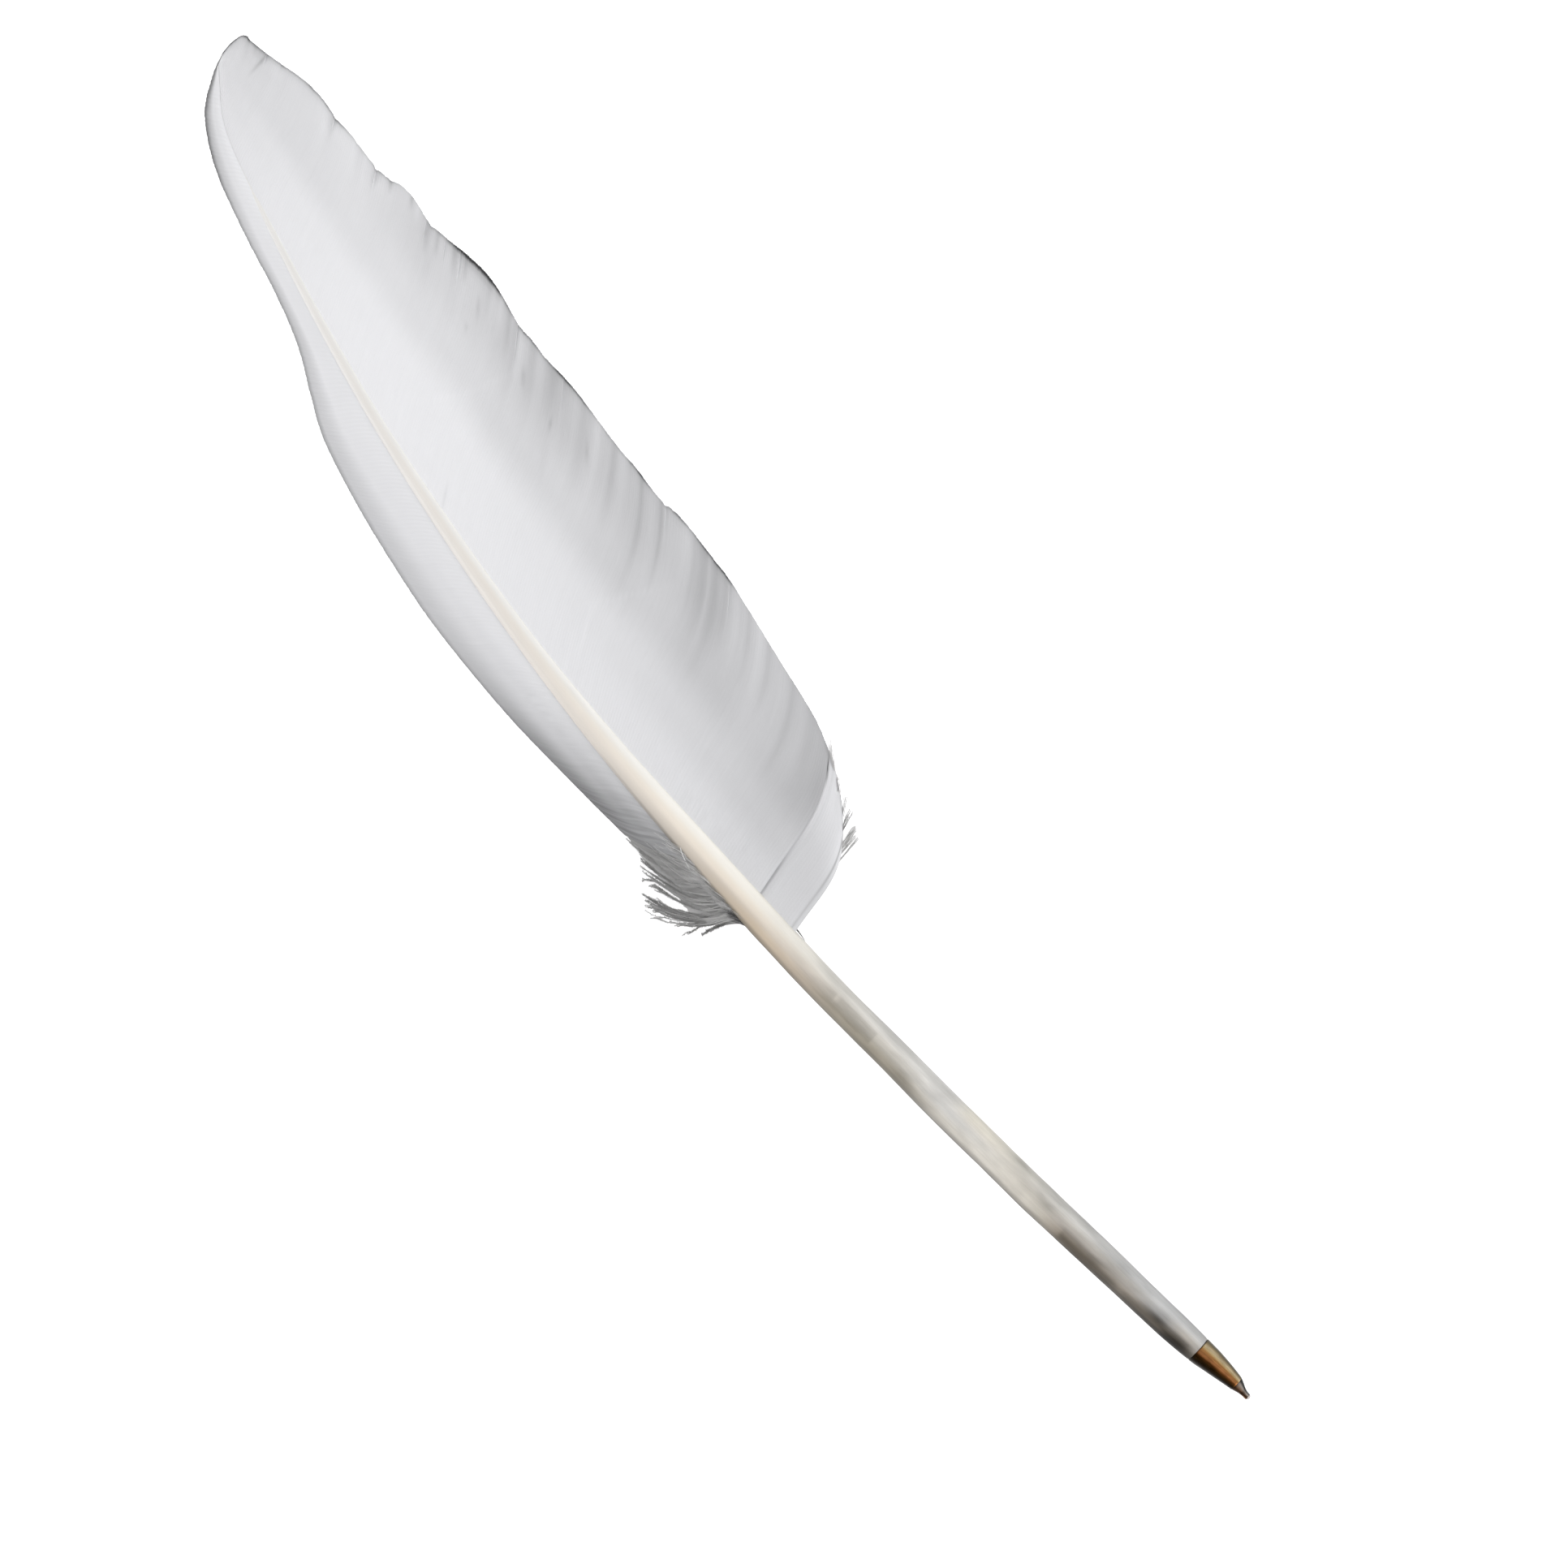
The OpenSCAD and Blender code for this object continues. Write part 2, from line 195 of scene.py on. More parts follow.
NARROW_BARBS = [
    [118.5, 129.5, -4.1], [125, 136, -4], [134, 144.5, -3.75], [144, 154, -3.35],
    [154, 164, -2.35], [165, 174.5, -0.85], [176, 185.5, 1.65], [187, 195.5, 4.45],
    [198, 205, 7.8], [206, 211.5, 11.5], [213, 218, 15.5], [222, 226, 18.9],
    [232, 236, 22.3], [242, 246, 26.4], [250, 253, 31.3], [255, 256.2, 36.4],
    [256.6, 257.5, 40],
]
# Matted sheet at the root of the loose down
DOWN_BARBS = [
    [106.8, 108.3, -2.3], [108, 110.3, -4.8], [109.5, 113.5, -5.7], [112, 118, -5.5],
    [115, 122.5, -5.1], [117, 126, -4.6], [118.6, 129.6, -4.1], [120.5, 132, -3.8],
]
# Height of each vane's edge above the table, by the run of the barb's tip
WIDE_EDGE_RISE = [
    [104, 5], [120, 4.4], [145, 2.6], [170, 0.9], [200, 0.6], [240, 0.55], [258, 0.6],
]
NARROW_EDGE_RISE = [
    [108, 1.2], [128, 0.8], [140, 0.45], [165, 0.4], [190, 0.9], [215, 1.4], [240, 0.8],
    [258, 0.6],
]
# How late a barb bends towards the feather's tip, by the run of its root
WIDE_LATE = [[101, 0.6], [125, 0.45], [150, 0.15], [257, 0.1]]
NARROW_LATE = [[100, 0.1], [260, 0.1]]
DOWN_LATE = [[100, 0.5], [120, 0.3]]


def shaft_rise(run):
    """Height of the shaft's and barrel's centre line."""
    return GRIP_RISE + (run - GRIP_RUN) * SLOPE - ARCH * np.maximum(run - HEEL, 0) ** 2


def lower_edge(run):
    """Side of the quill's edge on the narrow vane's side."""
    return curve(SHAFT_SIDE, run) - curve(SHAFT_WIDE, run) / 2


# ---------------------------------------------------------------- meshes

# Kind of a value at each point, and its field, by how many numbers it has
KINDS = {1: ("FLOAT", "value"), 3: ("FLOAT_VECTOR", "vector"), 4: ("FLOAT_COLOR", "color")}


def mesh_object(name, points, faces, material, corner=60, **attributes):
    """Smooth-shaded object with values at its points. Corners over corner degrees stay sharp."""
    mesh = bpy.data.meshes.new(name)
    mesh.from_pydata(points.tolist(), [], faces)
    mesh.update()
    mesh.polygons.foreach_set("use_smooth", np.ones(len(faces), bool))
    mesh.set_sharp_from_angle(angle=math.radians(corner))
    for key, values in attributes.items():
        kind, field = KINDS[values.size // len(values)]
        layer = mesh.attributes.new(key, kind, "POINT")
        layer.data.foreach_set(field, values.astype(np.float32).ravel())
    mesh.materials.append(material)
    obj = bpy.data.objects.new(name, mesh)
    bpy.context.scene.collection.objects.link(obj)
    return obj


def add_piece(obj, slot, *nodes):
    """A piece of the feather that stands for CAD nodes."""
    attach(obj, "feather")
    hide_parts(*nodes)
    return obj


def grid_faces(rows, columns, closed=False):
    """Squares on a grid of points, row by row. closed joins each row's end to its start."""
    i, j = np.meshgrid(np.arange(rows - 1), np.arange(columns - (not closed)), indexing="ij")
    a = i * columns + j
    b = i * columns + (j + 1) % columns
    return np.stack([a, b, b + columns, a + columns], axis=-1).reshape(-1, 4)


def sheet_faces(rows, columns):
    """Closed sheet between a top grid of points and, after it, a bottom one."""
    across = grid_faces(rows, columns)
    under = rows * columns
    rim = np.concatenate([
        np.arange(columns),
        np.arange(1, rows) * columns + columns - 1,
        (rows - 1) * columns + np.arange(columns - 2, -1, -1),
        np.arange(rows - 2, 0, -1) * columns,
    ])
    after = np.roll(rim, -1)
    sides = np.stack([after, rim, rim + under, after + under], axis=-1)
    return np.concatenate([across, across[:, ::-1] + under, sides])


# ---------------------------------------------------------------- vanes

ROWS_PER_BARB = 4
SKIN_IN = 0.3  # how far a vane's root goes into the shaft
VANE_THICK = 0.2
EDGE_THICK = 0.08
LOWEST = 0.12  # nothing of a vane's middle comes closer to the table
OUTLINE_STEPS = 4000  # places where a vane's outline is measured


class Vane:
    """Grid of points on a vane, whose rows run from the shaft to the vane's edge.

    along is how far a row's root is along the shaft, number counts its barb, q is the share
    of the barb's length, and out the mm from its root. lot is a barb's own random value and
    valley is 1 half way between two barbs.
    """

    def __init__(self, barbs, side, edge_rise, late, pitch, across, seed):
        """barbs pitch mm apart, and across points along each, on one side of the shaft."""
        u = np.linspace(0, len(barbs) - 1, OUTLINE_STEPS)
        r = row_at(barbs, u)
        steps = np.hypot(np.diff(r[:, 0]), np.diff(curve(SHAFT_SIDE, r[:, 0])))
        length = np.concatenate([[0], np.cumsum(steps)])
        count = round(length[-1] / pitch)
        at = np.linspace(0, 1, count * ROWS_PER_BARB + 1)
        row = row_at(barbs, np.interp(at * length[-1], length, u))
        self.side_sign = side
        self.along = (at * length[-1])[:, None]
        self.number = (at * count)[:, None]
        self.root, self.tip, self.tip_side = row[:, 0:1], row[:, 1:2], row[:, 2:3]
        # The last points lie close together, for the dark line of the edge
        inner = np.linspace(0, 1, across - 3) ** 0.9 * 0.975
        self.q = np.concatenate([inner, [0.986, 0.994, 1]])[None, :]
        random = np.random.default_rng(seed)
        self.lot = random.uniform(-1, 1, count + 1)[np.floor(self.number).astype(int)]
        self.valley = 0.5 - 0.5 * np.cos(2 * math.pi * self.number)
        self.edge_rise, self.late = edge_rise, late
        self.lift = 0.0  # height added, in mm
        self.reach = 0.0  # length added to each barb, in mm

    def solve(self):
        """Works out the run, side and rise of every point."""
        half = curve(SHAFT_WIDE, self.root) / 2
        high = curve(SHAFT_HIGH, self.root)
        cover = smooth(self.root, 228, 247)
        inset = lerp(half - np.minimum(SKIN_IN, half / 2), 0.02, cover)
        root_side = curve(SHAFT_SIDE, self.root) + self.side_sign * inset
        root_rise = shaft_rise(self.root) + high * lerp(0.12, 0.52, cover)
        self.long = np.hypot(self.tip - self.root, self.tip_side - root_side)
        q = self.q * (1 + self.reach / self.long)
        late = curve(self.late, self.root)
        lean = (1 - late) * (q + 0.05 * np.sin(2 * math.pi * q)) + late * q**4
        self.run = lerp(self.root, self.tip, lean)
        self.side = lerp(root_side, self.tip_side, q)
        edge = curve(self.edge_rise, self.tip)
        rise = lerp(root_rise, edge, 0.45 * q + 0.55 * q * q) + self.lift
        self.rise = LOWEST + np.logaddexp(0, (rise - LOWEST) * 12) / 12
        self.out = self.long * q

    def mesh(self, name, tone, material, ridge=0.03):
        """Ridged closed sheet through the points."""
        rows, columns = self.run.shape
        thick = lerp(VANE_THICK, EDGE_THICK, self.q**0.7)
        ridge = ridge * (0.5 - self.valley) * lerp(1, 0.6, self.q)
        top = place(self.run, self.side, self.rise + thick / 2 + ridge)
        bottom = place(self.run, self.side, self.rise - thick / 2 + ridge * 0.5)
        points = np.concatenate([top.reshape(-1, 3), bottom.reshape(-1, 3)])
        faces = sheet_faces(rows, columns)
        if self.side_sign < 0:
            faces = faces[:, ::-1]
        flow = np.stack(np.broadcast_arrays(self.along, self.out, self.lot), -1).reshape(-1, 3)
        tone = np.broadcast_to(tone, self.run.shape).ravel()
        return mesh_object(
            name, points, faces.tolist(), material,
            tone=np.concatenate([tone, tone * 0.92]), flow=np.concatenate([flow, flow]),
        )


def patches(run, side, spots):
    """Sum of soft oval patches: run, side, half length, half width, slant, depth."""
    total = 0.0
    for r, w, a, b, slant, depth in spots:
        x, y = run - r, side - w
        turn = math.radians(slant)
        along = x * math.cos(turn) + y * math.sin(turn)
        across = y * math.cos(turn) - x * math.sin(turn)
        total = total + depth * np.exp(-((along / a) ** 2) - (across / b) ** 2)
    return total


def streaks(vane, lines):
    """Sum of soft streaks along barbs: tip's run, half width, from share, to share, depth."""
    total = 0.0
    for tip, half, start, full, depth in lines:
        total = total + depth * bump(vane.tip, tip, half) * smooth(vane.q, start, full)
    return total


def splits(vane, lines):
    """Height of barbs that part from their neighbours: tip's run, from share, lift, fade."""
    total = 0.0
    for tip, start, lift, fade in lines:
        behind = vane.tip - tip
        step = np.where(behind > 0, np.exp(-np.abs(behind) / fade), -0.5 * np.exp(behind / fade))
        total = total + lift * step * smooth(vane.q, start, 1)
    return total


def edge_shade(vane, width, depth):
    """Painted shade along a vane's outer edge, width mm across."""
    left = vane.long * (1 - vane.q)
    return depth * np.exp(-((left / width) ** 2))


# ---------------------------------------------------------------- materials


def add(tree, kind, **inputs):
    """New node with values on its inputs."""
    node = tree.nodes.new(kind)
    for key, value in inputs.items():
        node.inputs[key.replace("_", " ")].default_value = value
    return node


def attribute(tree, name, output):
    """Socket with the mesh's own value of that name."""
    node = tree.nodes.new("ShaderNodeAttribute")
    node.attribute_name = name
    return node.outputs[output]


def scaled(tree, vector, scale):
    """Vector stretched along each of its axes."""
    node = tree.nodes.new("ShaderNodeVectorMath")
    node.operation = "MULTIPLY"
    tree.links.new(vector, node.inputs[0])
    node.inputs[1].default_value = scale
    return node.outputs["Vector"]


def noise(tree, vector, scale, detail=3.0):
    """Noise from 0 to 1 over a vector."""
    node = add(tree, "ShaderNodeTexNoise", Scale=scale, Detail=detail)
    tree.links.new(vector, node.inputs["Vector"])
    return node.outputs["Fac"]


def ranged(tree, value, low, high, to_low, to_high):
    """value moved from low..high to to_low..to_high, and kept there."""
    node = add(tree, "ShaderNodeMapRange", From_Min=low, From_Max=high, To_Min=to_low, To_Max=to_high)
    tree.links.new(value, node.inputs["Value"])
    return node.outputs["Result"]


def maths(tree, operation, a, b):
    """Result of an operation on two values, each a number or a socket."""
    node = tree.nodes.new("ShaderNodeMath")
    node.operation = operation
    for socket, value in zip(node.inputs, (a, b)):
        if isinstance(value, (int, float)):
            socket.default_value = value
        else:
            tree.links.new(value, socket)
    return node.outputs["Value"]


def mixed(tree, factor, a, b, blend="MIX"):
    """Colour between a and b, each a colour or a socket."""
    node = tree.nodes.new("ShaderNodeMix")
    node.data_type, node.blend_type = "RGBA", blend
    # The node has inputs A, B and Result once for each data type: these are the colours'
    for socket, value in ((node.inputs["Factor"], factor), (node.inputs[6], a), (node.inputs[7], b)):
        if isinstance(value, (int, float, tuple)):
            socket.default_value = value
        else:
            tree.links.new(value, socket)
    return node.outputs[2]


def shaded(tree, tint, shade):
    """A colour made lighter or darker by a factor near 1."""
    grey = tree.nodes.new("ShaderNodeCombineColor")
    for socket in grey.inputs[:3]:
        tree.links.new(shade, socket)
    return mixed(tree, 1.0, tint, grey.outputs["Color"], "MULTIPLY")


def rgb(*values):
    """Opaque colour."""
    return (*values, 1.0)


def surface(name, roughness, **sockets):
    """New material: its tree and its one shader, with constant values on its sockets."""
    made = bpy.data.materials.new(name)
    made.use_nodes = True
    shader = made.node_tree.nodes["Principled BSDF"]
    shader.inputs["Roughness"].default_value = roughness
    for key, value in sockets.items():
        shader.inputs[key.replace("_", " ")].default_value = value
    return made, made.node_tree, shader


def bumped(tree, shader, height, distance, strength=1.0):
    """Relief from a height of 0 to 1, distance mm deep."""
    node = add(tree, "ShaderNodeBump", Strength=strength, Distance=distance * MM)
    tree.links.new(height, node.inputs["Height"])
    tree.links.new(node.outputs["Normal"], shader.inputs["Normal"])


def feather_material(name, dark, light, grain):
    """Barbs: coloured by the vane's tone, which holds painted shade and light, and streaked along the
    barbs.
    """
    made, tree, shader = surface(name, 0.62, Sheen_Weight=0.12, Sheen_Roughness=0.4)
    flow, tone = attribute(tree, "flow", "Vector"), attribute(tree, "tone", "Fac")
    coarse = noise(tree, scaled(tree, flow, (1.1, 0.05, 1)), 1, 2)
    fine = noise(tree, scaled(tree, flow, (6, 0.35, 1)), 1, 3)
    broad, narrow = (ranged(tree, lines, 0.3, 0.7, -grain, grain) for lines in (coarse, fine))
    streak = maths(tree, "ADD", broad, narrow)
    shade = maths(tree, "ADD", tone, streak)
    tree.links.new(mixed(tree, shade, dark, light), shader.inputs["Base Color"])
    barbules = noise(tree, scaled(tree, flow, (14, 3, 1)), 1, 2)
    bumped(tree, shader, barbules, 0.05, 0.5)
    return made


def horn_material(name, roughness):
    """Horn of the barrel and shaft: tinted along its length with stains and painted shade and light,
    mottled and finely scratched.
    """
    made, tree, shader = surface(name, roughness, Specular_IOR_Level=0.12)
    flow, tint = attribute(tree, "flow", "Vector"), attribute(tree, "tint", "Color")
    mottle = attribute(tree, "mottle", "Fac")
    cloud = noise(tree, scaled(tree, flow, (0.16, 0.55, 0.55)), 1, 4)
    fibre = noise(tree, scaled(tree, flow, (0.25, 5, 5)), 1, 3)
    clouds = ranged(tree, cloud, 0.3, 0.7, -0.12, 0.12)
    fibres = ranged(tree, fibre, 0.3, 0.7, -0.05, 0.05)
    shade = maths(tree, "MULTIPLY", maths(tree, "ADD", clouds, fibres), mottle)
    tree.links.new(shaded(tree, tint, maths(tree, "ADD", shade, 1.0)), shader.inputs["Base Color"])
    rough = noise(tree, scaled(tree, flow, (0.3, 1.5, 1.5)), 1, 3)
    rough = ranged(tree, rough, 0.3, 0.7, roughness - 0.07, roughness + 0.1)
    tree.links.new(rough, shader.inputs["Roughness"])
    scratches = noise(tree, scaled(tree, flow, (0.5, 7, 7)), 1, 3)
    bumped(tree, shader, scratches, 0.03, 0.4)
    return made


def metal_material(name, roughness):
    """Turned metal: tinted by its painted reflections and shade, and brushed along its length."""
    made, tree, shader = surface(name, roughness, Metallic=1.0)
    flow, tint = attribute(tree, "flow", "Vector"), attribute(tree, "tint", "Color")
    brushed = noise(tree, scaled(tree, flow, (0.25, 7, 7)), 1, 3)
    cloud = noise(tree, scaled(tree, flow, (0.6, 1.6, 1.6)), 1, 4)
    lines = ranged(tree, brushed, 0.3, 0.7, 0.76, 1.16)
    clouds = ranged(tree, cloud, 0.3, 0.7, -0.12, 0.1)
    shade = maths(tree, "ADD", lines, clouds)
    tree.links.new(shaded(tree, tint, shade), shader.inputs["Base Color"])
    rough = ranged(tree, cloud, 0.3, 0.7, roughness - 0.05, roughness + 0.1)
    tree.links.new(rough, shader.inputs["Roughness"])
    bumped(tree, shader, brushed, 0.01, 0.4)
    return made


def plain_material(name, colour, other, roughness, scale=1500, **sockets):
    """Moulded or fibrous material with a faint grain of a second colour."""
    made, tree, shader = surface(name, roughness, **sockets)
    where = tree.nodes.new("ShaderNodeTexCoord").outputs["Object"]
    cloud = noise(tree, where, scale, 4)
    grain = mixed(tree, ranged(tree, cloud, 0.35, 0.65, 0, 1), colour, other)
    tree.links.new(grain, shader.inputs["Base Color"])
    rough = ranged(tree, cloud, 0.3, 0.7, roughness - 0.05, roughness + 0.08)
    tree.links.new(rough, shader.inputs["Roughness"])
    bumped(tree, shader, noise(tree, where, scale * 4, 2), 0.01, 0.3)
    return made


vane_material = feather_material("vane_barbs", rgb(0.02, 0.02, 0.021), rgb(0.865, 0.865, 0.887), 0.008)
down_material = feather_material("down_barbs", rgb(0.02, 0.02, 0.02), rgb(0.82, 0.813, 0.808), 0.02)
barrel_material = horn_material("barrel_horn", 0.4)
shaft_material = horn_material("shaft_horn", 0.4)
brass_material = metal_material("brass", 0.3)
nickel_material = metal_material("nickel_silver", 0.28)

# ---------------------------------------------------------------- vanes of the feather

# Where barbs part at the wide vane's edge: tip's run, from share, lift, fade
WIDE_SPLITS = [
    (145, 0.75, 0.3, 2.5), (160.5, 0.85, 0.3, 3), (185, 0.8, 0.35, 2.5), (196, 0.8, 0.35, 3),
    (210, 0.8, 0.35, 2), (213, 0.85, 0.3, 1.5), (217.5, 0.85, 0.35, 2), (228.3, 0.85, 0.4, 2.5),
    (238.2, 0.88, 0.35, 2.5), (252.6, 0.85, 0.45, 2),
]
# Waves of the wide vane's edge: tip's run, and mm that the barbs reach further
WIDE_WAVES = [
    [108, 0], [141, 0], [145, 0.15], [149, 0], [157, 0.15], [162, -0.3], [165, 0], [168, 0.15],
    [171, -0.1], [182, 0.2], [189, 0], [192.5, 0.3], [195.5, -0.05], [201, 0.2], [209, 0.25],
    [213.5, 0], [217, -0.45], [219.5, 0], [222.5, 0.3], [226.5, -0.25], [229, 0.05], [233.5, 0.5],
    [238, 0], [241, 0.25], [244, 0.1], [250, -0.1], [257.6, 0.05],
]
# Painted shade at the wide vane's and the narrow vane's rim, by tip's run, deepest where barbs part
WIDE_RIM_SHADE = [
    [108, 0.1], [130, 0.04], [142, 0.06], [145.5, 0.4], [151, 0.3], [155, 0.22], [158, 0.4],
    [162, 0.08], [166, 0.4], [171, 0.15], [178, 0.22], [183, 0.55], [190, 0.2], [194, 0.42],
    [197, 0.15], [200, 0.4], [204, 0.62], [207, 0.62], [211, 0.45], [218, 0.1], [222, 0.08],
    [227, 0.3], [231, 0.15], [238, 0.45], [244, 0.4], [252, 0.4], [257.6, 0.55],
]
NARROW_RIM_SHADE = [
    [118, 0.4], [143, 0.42], [155, 0.45], [170, 0.42], [238, 0.42], [246, 0.65], [257.6, 0.7],
]
# Tone of the wide vane, by tip's run, at shares of its barbs' length, with painted shade where the vane
# curves away from the light, darkest in its outer half near the base
WIDE_TONES_AND_SHADE = [
    (0.1, [[108, 0.74], [121, 0.71], [135, 0.77], [160, 0.82], [190, 0.88], [217, 0.92],
           [240, 0.89], [257, 0.83]]),
    (0.33, [[108, 0.68], [121, 0.62], [135, 0.67], [150, 0.72], [165, 0.78], [185, 0.85],
            [215, 0.89], [240, 0.86], [257, 0.78]]),
    (0.58, [[108, 0.58], [121, 0.55], [135, 0.61], [142, 0.57], [150, 0.59], [160, 0.64],
            [166, 0.62], [178, 0.69], [190, 0.68], [210, 0.75], [225, 0.77], [257, 0.74]]),
    (0.86, [[108, 0.58], [121, 0.52], [133, 0.59], [141, 0.59], [148, 0.52], [157, 0.57],
            [165, 0.54], [177, 0.57], [186, 0.55], [200, 0.6], [210, 0.67], [219, 0.66],
            [227, 0.73], [242, 0.76], [257, 0.68]]),
]
# Tone of the narrow vane, by tip's run, at shares of its barbs' length: painted shade under the shaft's
# base and towards the edge, where the vane slopes away from the light, and painted light further along
NARROW_TONES_AND_SHADE = [
    (0.1, [[118, 0.42], [133, 0.43], [140, 0.65], [150, 0.84], [165, 1], [205, 1.08], [225, 1.15],
           [245, 1.03], [257, 0.9]]),
    (0.5, [[118, 0.42], [134, 0.36], [140, 0.46], [150, 0.71], [160, 0.86], [185, 0.98], [225, 1.07],
           [245, 0.96], [257, 0.82]]),
    (0.95, [[118, 0.3], [135, 0.19], [141, 0.22], [150, 0.33], [160, 0.55], [175, 0.72], [205, 0.76],
            [225, 0.69], [236, 0.76], [245, 0.66], [257, 0.45]]),
]
# Painted shade and light of pleats along the wide vane's barbs: tip's run, half width, from share, to
# share, depth
WIDE_PLEAT_SHADE = [
    (117, 3.5, 0.3, 0.7, -0.03), (121.5, 1.0, 0.5, 0.8, -0.03), (124, 1.2, 0.5, 0.8, 0.03),
    (127, 0.8, 0.35, 0.7, -0.06), (130, 1.0, 0.6, 0.9, 0.03), (133.8, 0.9, 0.6, 0.85, -0.06),
    (136.5, 0.9, 0.6, 0.9, 0.03), (139.5, 0.8, 0.6, 0.9, -0.05), (143, 0.9, 0.5, 0.85, 0.04),
    (146, 0.8, 0.6, 0.85, -0.05), (148.3, 1.2, 0.4, 0.8, -0.09), (150, 0.4, 0.5, 0.9, 0.04),
    (151.4, 1.3, 0.45, 0.85, -0.08), (153.6, 0.5, 0.55, 0.8, -0.04), (155.5, 1.6, 0.7, 0.95, 0.05),
    (161.3, 0.5, 0.55, 0.85, -0.09), (163.3, 0.8, 0.6, 0.9, 0.03), (165.8, 0.7, 0.45, 0.8, -0.09),
    (169.5, 1.2, 0.6, 0.9, 0.03), (172.5, 0.8, 0.6, 0.9, -0.05), (176.5, 1.0, 0.6, 0.9, 0.04),
    (180, 1.2, 0.5, 0.85, -0.05), (187, 1.5, 0.75, 0.97, -0.08), (192, 1.0, 0.7, 0.9, -0.04),
    (195, 0.8, 0.6, 0.9, 0.06), (198.2, 0.7, 0.75, 0.92, -0.09), (200.5, 0.7, 0.8, 0.93, 0.05),
    (203.5, 0.6, 0.8, 0.93, -0.05), (208.7, 0.5, 0.85, 0.94, -0.13), (211, 0.6, 0.85, 0.95, -0.12),
    (214.6, 0.5, 0.85, 0.94, -0.12), (216.8, 0.6, 0.82, 0.92, -0.13), (219.5, 0.5, 0.9, 0.97, 0.05),
    (221, 0.4, 0.92, 0.98, -0.13), (225.3, 0.4, 0.92, 0.98, -0.13), (228.4, 0.5, 0.85, 0.95, -0.06),
    (230.5, 0.9, 0.7, 0.9, 0.03), (238.2, 0.5, 0.8, 0.95, -0.05), (241, 1.0, 0.8, 0.95, 0.03),
    (254.6, 0.4, 0.85, 0.95, -0.06),
]
# Notches of the wide vane's edge: tip's run, and mm deep
WIDE_NICKS = [
    (160.5, 0.25), (195.8, 0.1), (216.3, 0.2), (222.2, 0.12), (225.4, 0.15), (228.3, 0.35),
    (232.6, 0.12), (238, 0.2), (255.9, 0.12),
]
# Painted shade and light of creases and hollows on the wide vane, with a painted shadow in the split:
# run, side, half length, half width, slant, depth
WIDE_CREASE_SHADE = [
    (189.5, 36, 1.5, 0.35, 45, -0.1), (202, 39, 1.6, 0.3, 50, -0.09),
    (181.5, 33.7, 1, 0.3, 56, -0.12), (174.5, 34.5, 1.5, 0.3, 45, -0.08),
    (178.5, 29, 4, 0.6, 55, -0.03), (185.5, 14.5, 1.8, 0.25, 58, -0.08),
    (201, 35.3, 0.6, 0.3, 40, -0.1), (156, 15, 4, 0.3, 60, 0.03), (154.5, 23, 5, 0.3, -55, 0.03),
    (196, 25.5, 3, 0.3, -50, 0.03), (192.5, 32, 4.5, 0.3, -68, 0.03), (115, 19, 4, 4, 70, -0.04),
    (113, 22, 5, 1.5, 60, -0.05), (172, 22, 12, 5, 5, -0.02), (252.3, 43.1, 1.9, 0.25, 88, -0.22),
    (113.9, 25, 1.3, 0.17, 50, -0.75),
]


def make_wide_vane():
    vane = Vane(WIDE_BARBS, 1, WIDE_EDGE_RISE, WIDE_LATE, 0.5, 36, 11)
    ruffle = 0.3 * wobble(vane.number, 13, 3) + 0.16 * wobble(vane.number, 4.5, 4)
    vane.lift = ruffle * smooth(vane.q, 0.35, 1.05) * smooth(vane.tip, 112, 150)
    vane.lift = vane.lift + splits(vane, WIDE_SPLITS)
    vane.reach = 0.04 * vane.lot - 0.05 * vane.valley + curve(WIDE_WAVES, vane.tip)
    for tip, depth in WIDE_NICKS:
        vane.reach = vane.reach - depth * bump(vane.tip, tip, 0.45)
    vane.solve()
    # Painted shade where the wide vane curves away from the light
    tone = blended(WIDE_TONES_AND_SHADE, vane.tip, vane.q)
    # Painted shade and light of pleats and creases
    tone = tone + streaks(vane, WIDE_PLEAT_SHADE) + patches(vane.run, vane.side, WIDE_CREASE_SHADE)
    # Painted shade and light of fine ripples near the shaft
    ripple_shade = patches(vane.run, vane.side, [(124, 7.5, 5, 2.6, 0, 1), (114, 7.5, 3.5, 2, 0, 1)])
    tone = tone + 0.035 * ripple_shade * wobble(vane.along, 0.28, 5) * wobble(vane.out, 0.6, 10)
    # Painted shade along the wide vane's edge
    rim = curve(WIDE_RIM_SHADE, vane.tip) * (1 + 0.3 * wobble(vane.number, 2.5, 16))
    broad = lerp(0.3, 0.55, bump(vane.tip, 206, 6))
    tone = tone - edge_shade(vane, broad, rim) - edge_shade(vane, 3 * broad, 0.22 * rim)
    return add_piece(vane.mesh("wide_vane_barbs", tone, vane_material), "vane", "wide_vane")


